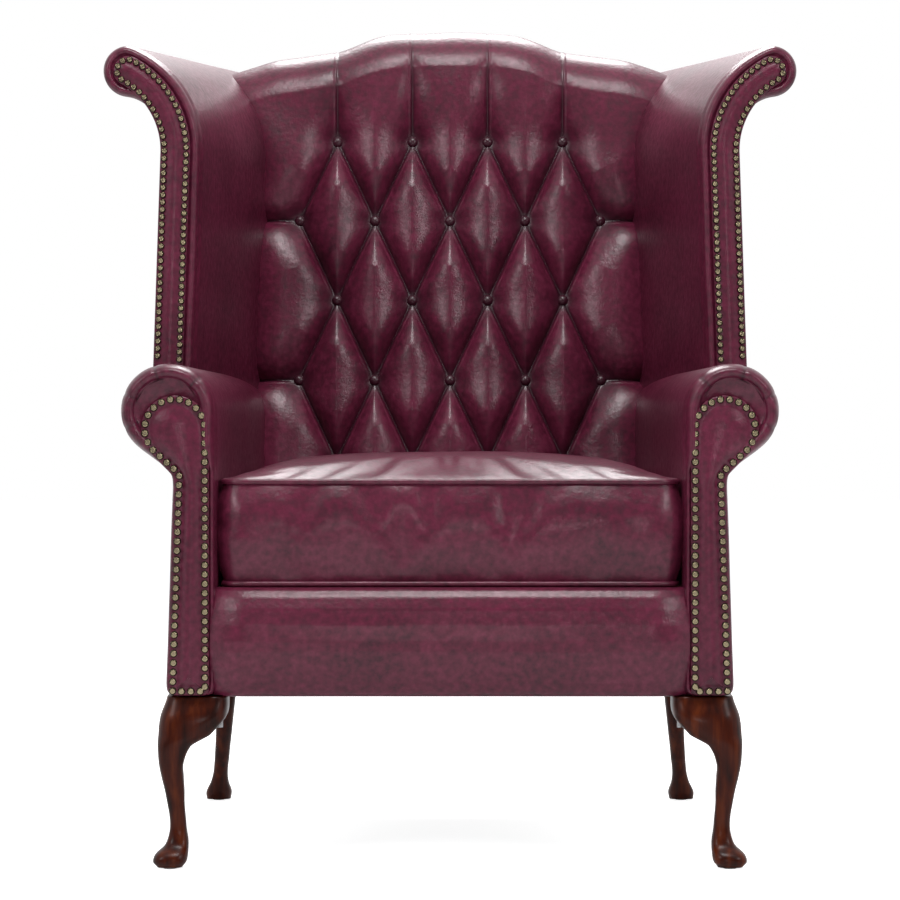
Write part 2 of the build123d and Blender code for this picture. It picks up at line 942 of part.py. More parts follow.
# Front border, the padded leather strip over the front rail
border_proud = 8.0
border_drop = 6.0
border_round = 9.0
border_lip = 7.0
border_front_y = front_face_y - border_proud
with BuildPart() as front_border:
    add(
        block(
            -border_half_width,
            border_half_width,
            border_front_y,
            stump_front - fit_gap,
            rail_bottom + border_drop,
            deck_height,
        )
    )
    fillet(front_border.faces().sort_by(Axis.Y)[0].edges(), border_round)
    add(
        block(
            -border_half_width,
            border_half_width,
            stump_front - fit_gap,
            stump_front + border_lip,
            frame_top + fit_gap,
            deck_height,
        )
    )
save(front_border.part, "front_border")

# Serpentine seat springs, clipped on the front and back rails
spring_count = 5
spring_spacing = 94.0
spring_wire = 3.6
spring_half_width = 22.0
spring_step = 26.0
clip_height = 2.4
clip_width = 16.0
clip_depth = 12.0
spring_z = frame_top + clip_height
spring_front_y = stump_front + timber - clip_depth
spring_rear_y = rear_rail_front_y + clip_depth
spring_steps = round((spring_rear_y - spring_front_y) / spring_step)
spring_rise = (spring_rear_y - spring_front_y) / spring_steps


def spring_face(middle):
    """A wavy band from the front rail to the back rail, seen from above."""
    bend = spring_rise / 2
    run = spring_half_width - bend
    with BuildLine(Plane.XY.offset(spring_z)) as wave:
        side = 1
        Line((middle - run, spring_front_y), (middle + run, spring_front_y))
        for i in range(spring_steps):
            y = spring_front_y + i * spring_rise
            ThreePointArc(
                (middle + side * run, y),
                (middle + side * spring_half_width, y + bend),
                (middle + side * run, y + spring_rise),
            )
            Line((middle + side * run, y + spring_rise), (middle - side * run, y + spring_rise))
            side = -side
        offset(amount=spring_wire / 2, side=Side.BOTH)
    return Face(wave.wires()[0])


spring_places = [(i - (spring_count - 1) / 2) * spring_spacing for i in range(spring_count)]
with BuildPart() as seat_springs:
    for middle in spring_places:
        extrude(spring_face(middle), amount=spring_wire, dir=(0, 0, 1))
save(seat_springs.part, "seat_springs")

with BuildPart() as spring_clips:
    for middle in spring_places:
        for y in (spring_front_y, spring_rear_y):
            add(
                block(
                    middle - clip_width / 2,
                    middle + clip_width / 2,
                    y - clip_depth / 2,
                    y + clip_depth / 2,
                    frame_top,
                    spring_z,
                )
            )
save(spring_clips.part, "spring_clips")

# Seat platform, hessian and felt sewn into one flat pad over the springs
platform_rear_y = rear_face_y + lean * deck_height - (pad_near + timber) / rake_cos
platform_front_y = stump_front + border_lip + fit_gap
platform_bottom = spring_z + spring_wire


def arm_gap_half(y, gap):
    """Half the width between the arms at a depth, less a clearance."""
    return between(seat_half_front, seat_half_rear, y) - gap


def between_arms(front_y, rear_y, z0, z1, gap):
    """A tapered slab that fills the width between the arms."""
    faces = []
    for y in (front_y, rear_y):
        half = arm_gap_half(y, gap)
        faces.append((y, upright(-half, half, z0, z1)))
    return web(*faces)


with BuildPart() as seat_platform:
    add(between_arms(platform_front_y, platform_rear_y, platform_bottom, deck_height, fit_gap))
save(seat_platform.part, "seat_platform")

# Loose seat cushion with a crown, drawn-in sides and a piped seam round the top and bottom
cushion_seam_height = 465.0
cushion_crown = 26.0
cushion_front_y = -380.0
cushion_side_gap = 4.6
cushion_back_gap = 5.0
cushion_corner = 22.0
cushion_pull = 5.0
cushion_bulge = 6.0
piping_radius = 3.5
piping_round_share = 0.45
cushion_bottom = deck_height + fit_gap
inside_back_y = rear_face_y + lean * cushion_bottom - swell_front / rake_cos
cushion_rear_y = inside_back_y - cushion_back_gap


def cushion_plan(z, by=0.0):
    """The cushion from above: sides drawn in between rounded corners."""
    front = arm_gap_half(cushion_front_y, cushion_side_gap) + by
    rear = arm_gap_half(cushion_rear_y, cushion_side_gap) + by
    corners = [
        (front, cushion_front_y - by),
        (rear, cushion_rear_y + by),
        (-rear, cushion_rear_y + by),
        (-front, cushion_front_y - by),
    ]
    with BuildSketch(Plane.XY.offset(z)) as plan:
        with BuildLine():
            for start, end in zip(corners, corners[1:] + corners[:1]):
                SagittaArc(start, end, cushion_pull)
        make_face()
        fillet(plan.vertices(), cushion_corner + by)
    return plan.sketch


def crowned(plane, low, high):
    """A bar along a plane's normal with a flat foot and a crowned top between two places across it."""
    with BuildSketch(plane) as side:
        with BuildLine():
            Polyline(
                (low, cushion_seam_height),
                (low, cushion_bottom),
                (high, cushion_bottom),
                (high, cushion_seam_height),
            )
            ThreePointArc(
                (high, cushion_seam_height),
                ((low + high) / 2, cushion_seam_height + cushion_crown),
                (low, cushion_seam_height),
            )
        make_face()
    with BuildPart() as bar:
        extrude(side.sketch, amount=reach, both=True)
    return bar.part


cushion_half = arm_gap_half(cushion_front_y, 0)
with BuildPart() as cushion_piping:
    for z in (cushion_bottom, cushion_seam_height - piping_radius):
        extrude(cushion_plan(z, piping_radius / 2), amount=2 * piping_radius)
    fillet(cushion_piping.edges().filter_by(Plane.XY), piping_radius * piping_round_share)
    extrude(cushion_plan(cushion_bottom - overrun, -piping_radius), amount=reach, mode=Mode.SUBTRACT)
save(cushion_piping.part, "cushion_piping")

with BuildPart() as seat_cushion:
    extrude(cushion_plan(cushion_bottom), amount=reach)
    add(crowned(Plane.XZ, -cushion_half, cushion_half), mode=Mode.INTERSECT)
    add(crowned(Plane.YZ, cushion_front_y - cushion_bulge, cushion_rear_y + cushion_bulge), mode=Mode.INTERSECT)
    add(cushion_piping.part, mode=Mode.SUBTRACT)
save(seat_cushion.part, "seat_cushion")

# Mahogany legs: cabriole in front, raked behind
glide_height = 2.0
glide_radius = 8.0
leg_top = leg_height - fit_gap
front_leg_reach = 75.0
front_leg_heights_share = (
    *(1, 0.88, 0.77, 0.71, 0.61, 0.53, 0.45, 0.37),
    *(0.29, 0.22, 0.16, 0.12, 0.075, 0.03, 0.01),
)
front_leg_outer_share = (
    *(0.98, 1.09, 1.12, 1.12, 1.1, 1.06, 1.01, 0.97),
    *(0.935, 0.93, 0.965, 1.02, 1.155, 1.19, 1.15),
)
front_leg_inner_share = (
    *(0, 0.03, 0.28, 0.58, 0.7, 0.7, 0.69, 0.69),
    *(0.675, 0.66, 0.635, 0.63, 0.635, 0.655, 0.69),
)
leg_corner_share = 0.28
leg_axis_x = body_half_front - front_leg_reach
leg_axis_y = front_face_y + front_leg_reach


def leg_sections(centres):
    """Rounded square sections, each a height, a centre and a width."""
    faces = []
    for z, x, y, width in centres:
        with BuildSketch(Plane.XY.offset(z)) as face:
            with Locations((x, y)):
                RectangleRounded(width, width, width * leg_corner_share)
        faces.append(face.sketch)
    return faces


front_leg_centres = []
for height, outer, inner in zip(front_leg_heights_share, front_leg_outer_share, front_leg_inner_share):
    middle = front_leg_reach * (outer + inner) / 2
    width = front_leg_reach * (outer - inner)
    z = glide_height + (leg_top - glide_height) * height
    front_leg_centres.append((z, leg_axis_x + middle, leg_axis_y - middle, width))
front_leg_centres[-1] = (glide_height,) + front_leg_centres[-1][1:]

with BuildPart() as front_leg:
    loft(sections=leg_sections(front_leg_centres), ruled=True)
    add(bolt_solid(front_bolt, fit_gap), mode=Mode.SUBTRACT)
save_pair(front_leg.part, "front_leg")

rear_leg_top_x = 310.0
rear_leg_top_y = 262.0
rear_leg_foot_x = 326.0
rear_leg_foot_y = 344.0
rear_leg_width = 34.0
rear_leg_heights_share = (1, 0.72, 0.48, 0.29, 0.19, 0.12, 0.05, 0)
rear_leg_travel_share = (0, 0.1, 0.34, 0.6, 0.77, 0.88, 0.97, 1)
rear_leg_widths_share = (1, 0.8, 0.66, 0.6, 0.6, 0.74, 1.05, 1)
rear_leg_centres = []
for height, travel, size in zip(rear_leg_heights_share, rear_leg_travel_share, rear_leg_widths_share):
    rear_leg_centres.append(
        (
            glide_height + (leg_top - glide_height) * height,
            rear_leg_top_x + (rear_leg_foot_x - rear_leg_top_x) * travel,
            rear_leg_top_y + (rear_leg_foot_y - rear_leg_top_y) * travel,
            rear_leg_width * size,
        )
    )
with BuildPart() as rear_leg:
    loft(sections=leg_sections(rear_leg_centres), ruled=True)
    add(bolt_solid(rear_bolt, fit_gap), mode=Mode.SUBTRACT)
save_pair(rear_leg.part, "rear_leg")

with BuildPart() as leg_bolts:
    add(bolt_solid(front_bolt))
    add(bolt_solid(rear_bolt))
    mirror(about=Plane.YZ)
save(leg_bolts.part, "leg_bolts")

# Steel glides under the feet
with BuildPart() as floor_glides:
    with BuildSketch(Plane.XY):
        with Locations(front_leg_centres[-1][1:3], rear_leg_centres[-1][1:3]):
            Circle(glide_radius)
    extrude(amount=glide_height)
    mirror(about=Plane.YZ)
save(floor_glides.part, "floor_glides")

# Dust cover, black cloth tacked under the seat rails
cover_thickness = 1.2
cover_top = frame_bottom - fit_gap
cover_front_y = stump_front + timber / 2
with BuildPart() as dust_cover:
    with BuildSketch(Plane.XY.offset(cover_top - cover_thickness)):
        with BuildLine():
            Polyline(
                (-stump_inner, cover_front_y),
                (stump_inner, cover_front_y),
                (rear_rail_half, rear_rail_y - timber / 2),
                (-rear_rail_half, rear_rail_y - timber / 2),
                close=True,
            )
        make_face()
    extrude(amount=cover_thickness)
    for place in (front_bolt, (-front_bolt[0], front_bolt[1])):
        add(bolt_solid(place, fit_gap), mode=Mode.SUBTRACT)
save(dust_cover.part, "dust_cover")
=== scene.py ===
import json
import math

import bmesh
import bpy
import numpy as np
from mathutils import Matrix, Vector, noise


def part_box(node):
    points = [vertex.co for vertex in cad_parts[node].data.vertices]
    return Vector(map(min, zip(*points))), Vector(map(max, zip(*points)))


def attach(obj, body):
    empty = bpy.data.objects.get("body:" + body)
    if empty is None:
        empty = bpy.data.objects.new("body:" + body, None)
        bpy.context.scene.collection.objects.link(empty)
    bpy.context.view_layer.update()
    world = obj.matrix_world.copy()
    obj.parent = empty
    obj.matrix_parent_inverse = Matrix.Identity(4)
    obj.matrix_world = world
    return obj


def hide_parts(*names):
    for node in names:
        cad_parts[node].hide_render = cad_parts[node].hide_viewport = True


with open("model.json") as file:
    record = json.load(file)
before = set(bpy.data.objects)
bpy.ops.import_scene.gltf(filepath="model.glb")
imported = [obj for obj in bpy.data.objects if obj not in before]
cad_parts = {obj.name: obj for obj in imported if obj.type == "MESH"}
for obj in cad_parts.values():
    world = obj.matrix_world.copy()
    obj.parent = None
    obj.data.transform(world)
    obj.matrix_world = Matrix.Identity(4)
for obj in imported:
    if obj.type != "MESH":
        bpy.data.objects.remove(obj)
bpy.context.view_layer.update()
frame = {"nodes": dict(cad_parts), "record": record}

BODY = "chair_frame"
CUSHION_BODY = "loose_cushion"
bpy.ops.object.select_all(action="DESELECT")

# The studio: a pale floor that holds the chair's shadow, soft lamps in front and above, a black flag behind
# the camera that keeps the white room out of the leather's shine, and a long lens level with the seat back.
FLOOR_SPAN = 30.0
FLOOR_COLOUR = (0.92, 0.92, 0.92)
FLOOR_GLOW = 0.1
FLOOR_GLOW_SEEN = 0.78
ROOM_COLOUR = (0.85, 0.87, 0.9)
ROOM_STRENGTH = 0.24
FLAG_SPAN = 16
FLAG_HEIGHT = 8
FLAG_PLACE = (-6.2, 0.01)
FLAG_COLOUR = (0.01, 0.01, 0.01)
CAMERA_Y = -4.588
CAMERA_HEIGHT = 0.5635
CAMERA_TILT = math.radians(0.818)
LENS = 140.0
SENSOR = 36.0


def shown_rays(tree):
    """One where the camera, a mirror or glass looks, and none where light only falls on the chair."""
    path = tree.nodes.new("ShaderNodeLightPath")
    total = path.outputs["Is Camera Ray"]
    for ray in ("Is Glossy Ray", "Is Transmission Ray"):
        either = tree.nodes.new("ShaderNodeMath")
        either.operation = "MAXIMUM"
        tree.links.new(total, either.inputs[0])
        tree.links.new(path.outputs[ray], either.inputs[1])
        total = either.outputs[0]
    return total


world = bpy.data.worlds.new("studio")
bpy.context.scene.world = world
world.use_nodes = True
room = world.node_tree
background = room.nodes["Background"]
background.inputs["Color"].default_value = (*ROOM_COLOUR, 1)
background.inputs["Strength"].default_value = ROOM_STRENGTH
backdrop = room.nodes.new("ShaderNodeBackground")
backdrop.inputs["Color"].default_value = (1, 1, 1, 1)
chosen = room.nodes.new("ShaderNodeMixShader")
room.links.new(shown_rays(room), chosen.inputs[0])
room.links.new(background.outputs[0], chosen.inputs[1])
room.links.new(backdrop.outputs[0], chosen.inputs[2])
room.links.new(chosen.outputs[0], room.nodes["World Output"].inputs[0])

bpy.ops.mesh.primitive_plane_add(size=FLOOR_SPAN)
floor = bpy.context.object
floor.name = "studio_floor"
floor_paint = bpy.data.materials.new("studio_floor")
floor_paint.use_nodes = True
tree = floor_paint.node_tree
floor_shader = tree.nodes["Principled BSDF"]
floor_shader.inputs["Base Color"].default_value = (*FLOOR_COLOUR, 1)
floor_shader.inputs["Roughness"].default_value = 0.9
floor_shader.inputs["Specular IOR Level"].default_value = 0.0
floor_shader.inputs["Emission Color"].default_value = (1, 1, 1, 1)
floor_glow = tree.nodes.new("ShaderNodeMath")
floor_glow.operation = "MULTIPLY_ADD"
floor_glow.inputs[1].default_value = FLOOR_GLOW
floor_seen = tree.nodes.new("ShaderNodeMath")
floor_seen.operation = "MULTIPLY"
floor_seen.inputs[1].default_value = FLOOR_GLOW_SEEN
floor_path = tree.nodes.new("ShaderNodeLightPath")
tree.links.new(floor_path.outputs["Is Camera Ray"], floor_seen.inputs[0])
tree.links.new(floor_seen.outputs[0], floor_glow.inputs[2])
tree.links.new(shown_rays(tree), floor_glow.inputs[0])
tree.links.new(floor_glow.outputs[0], floor_shader.inputs["Emission Strength"])
floor.data.materials.append(floor_paint)

bpy.ops.mesh.primitive_plane_add(size=1)
flag = bpy.context.object
flag.name = "studio_flag"
for vert in flag.data.vertices:
    vert.co = (vert.co.x * FLAG_SPAN, FLAG_PLACE[0], FLAG_PLACE[1] + (vert.co.y + 0.5) * FLAG_HEIGHT)
flag_cloth = bpy.data.materials.new("studio_flag")
flag_cloth.use_nodes = True
flag_shader = flag_cloth.node_tree.nodes["Principled BSDF"]
flag_shader.inputs["Base Color"].default_value = (*FLAG_COLOUR, 1)
flag_shader.inputs["Roughness"].default_value = 1.0
flag.data.materials.append(flag_cloth)
flag.visible_camera = False

for lamp_name, place, aim, power, size in (
    ("key_left", (-2.2, -2.5, 2.1), (0, 0, 0.6), 30, 1.0),
    ("key_right", (2.2, -2.5, 2.1), (0, 0, 0.6), 30, 1.0),
    ("top", (0, -1.3, 2.8), (0, 0, 0.6), 46, 0.9),
    ("near_camera", (0, -4.3, 1.0), (0, 0, 0.6), 10, 0.6),
    ("crest", (0, 1.7, 2.8), (0, 0.1, 0.8), 72, 1.3),
):
    lamp_data = bpy.data.lights.new(lamp_name, "AREA")
    lamp_data.energy = power
    lamp_data.size = size
    lamp = bpy.data.objects.new(lamp_name, lamp_data)
    bpy.context.collection.objects.link(lamp)
    lamp.location = place
    lamp.rotation_euler = (Vector(aim) - Vector(place)).to_track_quat("-Z", "Y").to_euler()

camera_data = bpy.data.cameras.new("camera")
camera_data.lens = LENS
camera_data.sensor_width = SENSOR
camera = bpy.data.objects.new("camera", camera_data)
bpy.context.collection.objects.link(camera)
camera.location = (0, CAMERA_Y, CAMERA_HEIGHT)
camera.rotation_euler = (math.pi / 2 - CAMERA_TILT, 0, 0)
bpy.context.scene.camera = camera
bpy.context.scene.view_settings.view_transform = "Standard"

# The hide: oxblood leather, mottled lighter and darker at random, with painted shade mixed in where a piece
# marks its creases and button wells, with a fine grain of small cells and a soft waxed shine.
LEATHER_DARK = (0.026, 0.0042, 0.0098)
LEATHER_MID = (0.09, 0.0095, 0.0275)
LEATHER_RUBBED = (0.158, 0.02, 0.052)
GRAIN_SCALE = 520.0
MOTTLE_SCALE = 9.0
SPECKLE_SCALE = 126.0
SPECKLE_SHARE = 0.62


def noise_node(tree, scale, detail, coordinates):
    """A cloud of noise at some coordinates."""
    cloud = tree.nodes.new("ShaderNodeTexNoise")
    cloud.inputs["Scale"].default_value = scale
    cloud.inputs["Detail"].default_value = detail
    tree.links.new(coordinates, cloud.inputs["Vector"])
    return cloud


def ramp_node(tree, stops, fac):
    """A ramp through stops of place and colour, driven by a factor."""
    ramp = tree.nodes.new("ShaderNodeValToRGB")
    elements = ramp.color_ramp.elements
    while len(elements) < len(stops):
        elements.new(0.5)
    for element, (place, colour) in zip(elements, stops):
        element.position = place
        element.color = (*colour, 1)
    tree.links.new(fac, ramp.inputs["Fac"])
    return ramp


def leather(name):
    """Waxed oxblood leather, mottled and grained, with painted shade where a piece marks its creases and
    wells.
    """
    hide = bpy.data.materials.new(name)
    hide.use_nodes = True
    tree = hide.node_tree
    shader = tree.nodes["Principled BSDF"]
    where = tree.nodes.new("ShaderNodeTexCoord").outputs["Object"]
    mottle = noise_node(tree, MOTTLE_SCALE, 6, where)
    speckle = noise_node(tree, SPECKLE_SCALE, 4, where)
    broad = tree.nodes.new("ShaderNodeMath")
    broad.operation = "MULTIPLY"
    broad.inputs[1].default_value = 1 - SPECKLE_SHARE
    tree.links.new(mottle.outputs["Fac"], broad.inputs[0])
    blend = tree.nodes.new("ShaderNodeMath")
    blend.operation = "MULTIPLY_ADD"
    blend.inputs[1].default_value = SPECKLE_SHARE
    tree.links.new(speckle.outputs["Fac"], blend.inputs[0])
    tree.links.new(broad.outputs[0], blend.inputs[2])
    tones = ((0.24, LEATHER_DARK), (0.5, LEATHER_MID), (0.76, LEATHER_RUBBED))
    colour = ramp_node(tree, tones, blend.outputs[0])
    # Painted shade: an attribute that pieces set along their creases and wells mixes the hide towards its
    # darkest tone.
    fold_shade_attribute = tree.nodes.new("ShaderNodeAttribute")
    fold_shade_attribute.attribute_name = "painted_fold_shade"
    shade = tree.nodes.new("ShaderNodeMixRGB")
    shade.inputs[2].default_value = (*LEATHER_DARK, 1)
    tree.links.new(fold_shade_attribute.outputs["Fac"], shade.inputs[0])
    tree.links.new(colour.outputs[0], shade.inputs[1])
    tree.links.new(shade.outputs[0], shader.inputs["Base Color"])
    grain = tree.nodes.new("ShaderNodeTexVoronoi")
    grain.feature = "DISTANCE_TO_EDGE"
    grain.inputs["Scale"].default_value = GRAIN_SCALE
    tree.links.new(where, grain.inputs["Vector"])
    pores = noise_node(tree, GRAIN_SCALE / 3, 3, where)
    bump = tree.nodes.new("ShaderNodeBump")
    bump.inputs["Strength"].default_value = 0.16
    bump.inputs["Distance"].default_value = 0.0006
    tree.links.new(grain.outputs["Distance"], bump.inputs["Height"])
    swell = tree.nodes.new("ShaderNodeBump")
    swell.inputs["Strength"].default_value = 0.22
    swell.inputs["Distance"].default_value = 0.002
    tree.links.new(pores.outputs["Fac"], swell.inputs["Height"])
    tree.links.new(bump.outputs[0], swell.inputs["Normal"])
    tree.links.new(swell.outputs[0], shader.inputs["Normal"])
    gloss = ramp_node(tree, ((0.3, (0.38,) * 3), (0.7, (0.29,) * 3)), speckle.outputs["Fac"])
    tree.links.new(gloss.outputs[0], shader.inputs["Roughness"])
    shader.inputs["Specular IOR Level"].default_value = 0.33
    shader.inputs["Coat Weight"].default_value = 0.08
    shader.inputs["Coat Roughness"].default_value = 0.25
    return hide


def dress(piece, name, material, body=BODY):
    """Names a finished piece, gives it its finish and fixes it to a body."""
    piece.name = name
    piece.data.name = name
    piece.data.materials.clear()
    piece.data.materials.append(material)
    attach(piece, body)
    piece.select_set(False)


OXBLOOD = leather("oxblood_leather")

# The arms: a wooden arm padded with fibre, its leather drawn over a round scroll, rolled over the front
# edge in small gathers and nailed behind the arm facing.
FRONT_Y = -0.388
LOFT_REAR_Y = 0.440
RAKE = math.radians(8)
REAR_FACE_Y = 0.254
REAR_INSET = 0.0035
ARM_FRONT = dict(inner=0.282, outer=0.343, neck_x=0.333, neck_z=0.476, roll=0.057, top=0.608, foot=0.207)
ARM_REAR = dict(inner=0.238, outer=0.331, neck_x=0.317, neck_z=0.476, roll=0.046, top=0.592, foot=0.207)
ARM_RIM = dict(edge=0.0095, tuck=0.009, tuck_deep=0.013, deep=0.018, proud=0.008, narrow=0.42, from_z=0.478)
ARM_SIDES = 240
ARM_STEPS = 90
RIM_STEPS = 14
RIM_FROM, RIM_SWEEP = math.radians(-60), math.radians(150)
RIM_BLEND = 0.03
SCROLL_POINTS = 40


def even_points(corners, count, closed=True, soften=0):
    """Points at even steps along a line of corners, softened where its corners are."""
    line = [Vector(p) for p in corners]
    if closed:
        line.append(line[0])
    lengths = [0.0]
    for a, b in zip(line, line[1:]):
        lengths.append(lengths[-1] + (b - a).length)
    points = []
    steps = count if closed else count - 1
    j = 0
    for i in range(count):
        target = lengths[-1] * i / steps
        while j < len(line) - 2 and lengths[j + 1] < target:
            j += 1
        span = lengths[j + 1] - lengths[j]
        points.append(line[j].lerp(line[j + 1], (target - lengths[j]) / span if span else 0))
    for _ in range(soften):
        points = [
            (points[i - 1] + points[i] * 2 + points[(i + 1) % count]) / 4 for i in range(count)
        ]
    return points


def outward(points):
    """Unit normals of a closed line that runs anticlockwise."""
    count = len(points)
    normals = []
    for i in range(count):
        along = points[(i + 1) % count] - points[i - 1]
        normals.append(Vector((along.y, -along.x)).normalized())
    return normals


def arm_corners(arm):
    """The front view of an arm: up the outside, round the scroll and down the inside."""
    across = arm["neck_x"] - arm["inner"] - arm["roll"]
    down = arm["neck_z"] - arm["top"] + arm["roll"]
    join = math.atan2(down, across) + math.acos(arm["roll"] / math.hypot(across, down))
    corners = [(arm["inner"], arm["foot"]), (arm["outer"], arm["foot"]), (arm["neck_x"], arm["neck_z"])]
    for i in range(SCROLL_POINTS + 1):
        turn = join + (math.pi - join) * i / SCROLL_POINTS
        x = arm["inner"] + arm["roll"] * (1 + math.cos(turn))
        z = arm["top"] - arm["roll"] * (1 - math.sin(turn))
        corners.append((x, z))
    return corners


def rear_limit(z):
    """The depth of the chair's raked rear at a height."""
    return REAR_FACE_Y + math.tan(RAKE) * z


def loft_piece(front, rear, front_y, steps, rim, lift):
    """A padded board: a grid bent round a line from front to rear, its front edge rolled over like a rim."""
    sides = len(front)
    edge = rim["deep"]
    rows = RIM_STEPS + steps + 1
    bpy.ops.mesh.primitive_grid_add(x_subdivisions=sides - 1, y_subdivisions=rows - 1, size=1)
    piece = bpy.context.object
    front_normals = outward(front)
    for row in range(rows):
        for i in range(sides):
            if row < RIM_STEPS:
                turn = RIM_SWEEP * row / RIM_STEPS + RIM_FROM
                on_scroll = min(1, max(0, (front[i].y - rim["from_z"]) / RIM_BLEND))
                full = rim["narrow"] + (1 - rim["narrow"]) * on_scroll
                width = rim["edge"] if turn > 0 else rim["tuck"]
                drop = edge + rim["proud"] * full if turn > 0 else rim["tuck_deep"] * full
                flat = front[i] - front_normals[i] * full * (rim["edge"] - width * math.sin(turn))
                y = front_y - rim["proud"] * full + drop * (1 - math.cos(turn))
                place = Vector((flat.x, y, flat.y))
            else:
                share = (row - RIM_STEPS) / steps
                start_y = front_y + edge
                base = front[i].lerp(rear[i], edge / (LOFT_REAR_Y - front_y))
                far = rear_limit(base.y) - REAR_INSET
                y = start_y + (far - start_y) * share
                flat = front[i].lerp(rear[i], (y - front_y) / (LOFT_REAR_Y - front_y))
                place = Vector((flat.x, y, flat.y))
            piece.data.vertices[row * sides + i].co = lift(place)
    join_round(piece, sides, rows)
    return piece


def join_round(piece, sides, rows):
    """Closes a grid's first and last columns into a tube, and fills its two ends."""
    mesh = bmesh.new()
    mesh.from_mesh(piece.data)
    mesh.verts.ensure_lookup_table()
    for row in range(rows - 1):
        a, b = row * sides, (row + 1) * sides
        mesh.faces.new([mesh.verts[k] for k in (a + sides - 1, a, b, b + sides - 1)])
    for row in (0, rows - 1):
        mesh.faces.new([mesh.verts[row * sides + i] for i in range(sides)])
    bmesh.ops.recalc_face_normals(mesh, faces=mesh.faces)
    mesh.to_mesh(piece.data)
    mesh.free()
    bpy.ops.object.shade_smooth()


def mirrored(piece):
    """The left-hand twin of a right-hand piece, with its own mesh."""
    twin = piece.copy()
    twin.data = piece.data.copy()
    bpy.context.collection.objects.link(twin)
    mesh = bmesh.new()
    mesh.from_mesh(twin.data)
    for vert in mesh.verts:
        vert.co.x = -vert.co.x
    bmesh.ops.reverse_faces(mesh, faces=mesh.faces)
    mesh.to_mesh(twin.data)
    mesh.free()
    return twin


ROLL_CENTRE = Vector((ARM_FRONT["inner"] + ARM_FRONT["roll"], ARM_FRONT["top"] - ARM_FRONT["roll"]))
GATHERS = (-24, 22, 73, 133)
GATHER_BACK, GATHER_IN = 0.0024, 0.0012
GATHER_REACH, GATHER_ANGLE = 0.05, 2.6
SHADE, SHADE_REACH, SHADE_ANGLE = 0.75, 0.03, 1.8
ARM_SAG = 0.0012


def round_scroll(place):
    """Which way a place lies from the middle of the scroll, and its angle in degrees."""
    away = Vector((place.x, place.z)) - ROLL_CENTRE
    return away, math.degrees(math.atan2(away.y, away.x))


def gathered(place):
    """Small gathers where the leather turns over the front edge of the scroll."""
    away, turn = round_scroll(place)
    fade = max(0.0, 1 - (place.y - FRONT_Y) / GATHER_REACH)
    pull = fade * sum(math.exp(-abs((turn - gather) / GATHER_ANGLE)) for gather in GATHERS)
    place.y += GATHER_BACK * pull
    flat = away.normalized() * GATHER_IN * pull
    sag = noise.noise(place * 9) * ARM_SAG
    return Vector((place.x - flat.x + sag, place.y, place.z - flat.y))


arm_front = even_points(arm_corners(ARM_FRONT), ARM_SIDES, soften=10)
arm_rear = even_points(arm_corners(ARM_REAR), ARM_SIDES, soften=10)
arm = loft_piece(arm_front, arm_rear, FRONT_Y, ARM_STEPS, ARM_RIM, gathered)
# Painted shade: the hide is darkened along each gather at the front of the scroll, where shade falls in the
# creases.
painted_fold_shade = arm.data.attributes.new("painted_fold_shade", "FLOAT", "POINT")
for index, vert in enumerate(arm.data.vertices):
    turn = round_scroll(vert.co)[1]
    ahead = max(0.0, 1 - (vert.co.y - FRONT_Y) / SHADE_REACH)
    deepest = max(math.exp(-(((turn - gather) / SHADE_ANGLE) ** 2)) for gather in GATHERS)
    painted_fold_shade.data[index].value = SHADE * ahead * deepest
twin = mirrored(arm)
for side, piece in (("right", arm), ("left", twin)):
    dress(piece, f"padded_arm_{side}", OXBLOOD)
    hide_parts(f"arm_pad_{side}", f"outside_arm_leather_{side}")

# The wings: a padded upright board on each arm, its leather drawn up from the arm and curled outwards over a
# small roll at the top. The roll runs inwards and lower towards the rear, where it meets the back.
WING_Y = -0.110
WING_FOOT_Z = 0.551
WING_FRONT = dict(
    foot=(0.330, 0.381), neck=(0.319, 0.370), neck_z=(0.875, 0.892),
    roll_x=0.411, roll=0.033, top=1.017, start=-90,
)
WING_REAR = dict(
    foot=(0.214, 0.331), neck=(0.214, 0.324), neck_z=(0.875, 0.957),
    roll_x=0.285, roll=0.034, top=1.030, start=-15,
)
WING_RIM = dict(edge=0.007, tuck=0.005, tuck_deep=0.006, deep=0.011, proud=0.0035, narrow=1.0, from_z=0.5)
WING_STEPS = 60
FOOT_POINTS, SIDE_POINTS, OUTER_POINTS, ROLL_POINTS, INNER_POINTS = 18, 60, 33, 44, 48
WING_SOFTEN = 4
INNER_CURL = 0.165
OUTER_CURL = 0.2
WING_SAG = 0.0014


def bowed(start, end, share, count):
    """Points along an arc between two places, bowed to its left by a share of its length."""
    start, end = Vector(start), Vector(end)
    chord = end - start
    rise = chord.length * share
    radius = (chord.length**2 / 4 + rise**2) / (2 * abs(rise))
    left = Vector((-chord.y, chord.x)).normalized() * (1 if rise > 0 else -1)
    centre = (start + end) / 2 - left * (radius - abs(rise))
    first, last = start - centre, end - centre
    sweep = first.angle_signed(last)
    points = []
    for i in range(count):
        turn = -sweep * i / (count - 1)
        c, s = math.cos(turn), math.sin(turn)
        points.append(centre + Vector((first.x * c - first.y * s, first.x * s + first.y * c)))
    return points


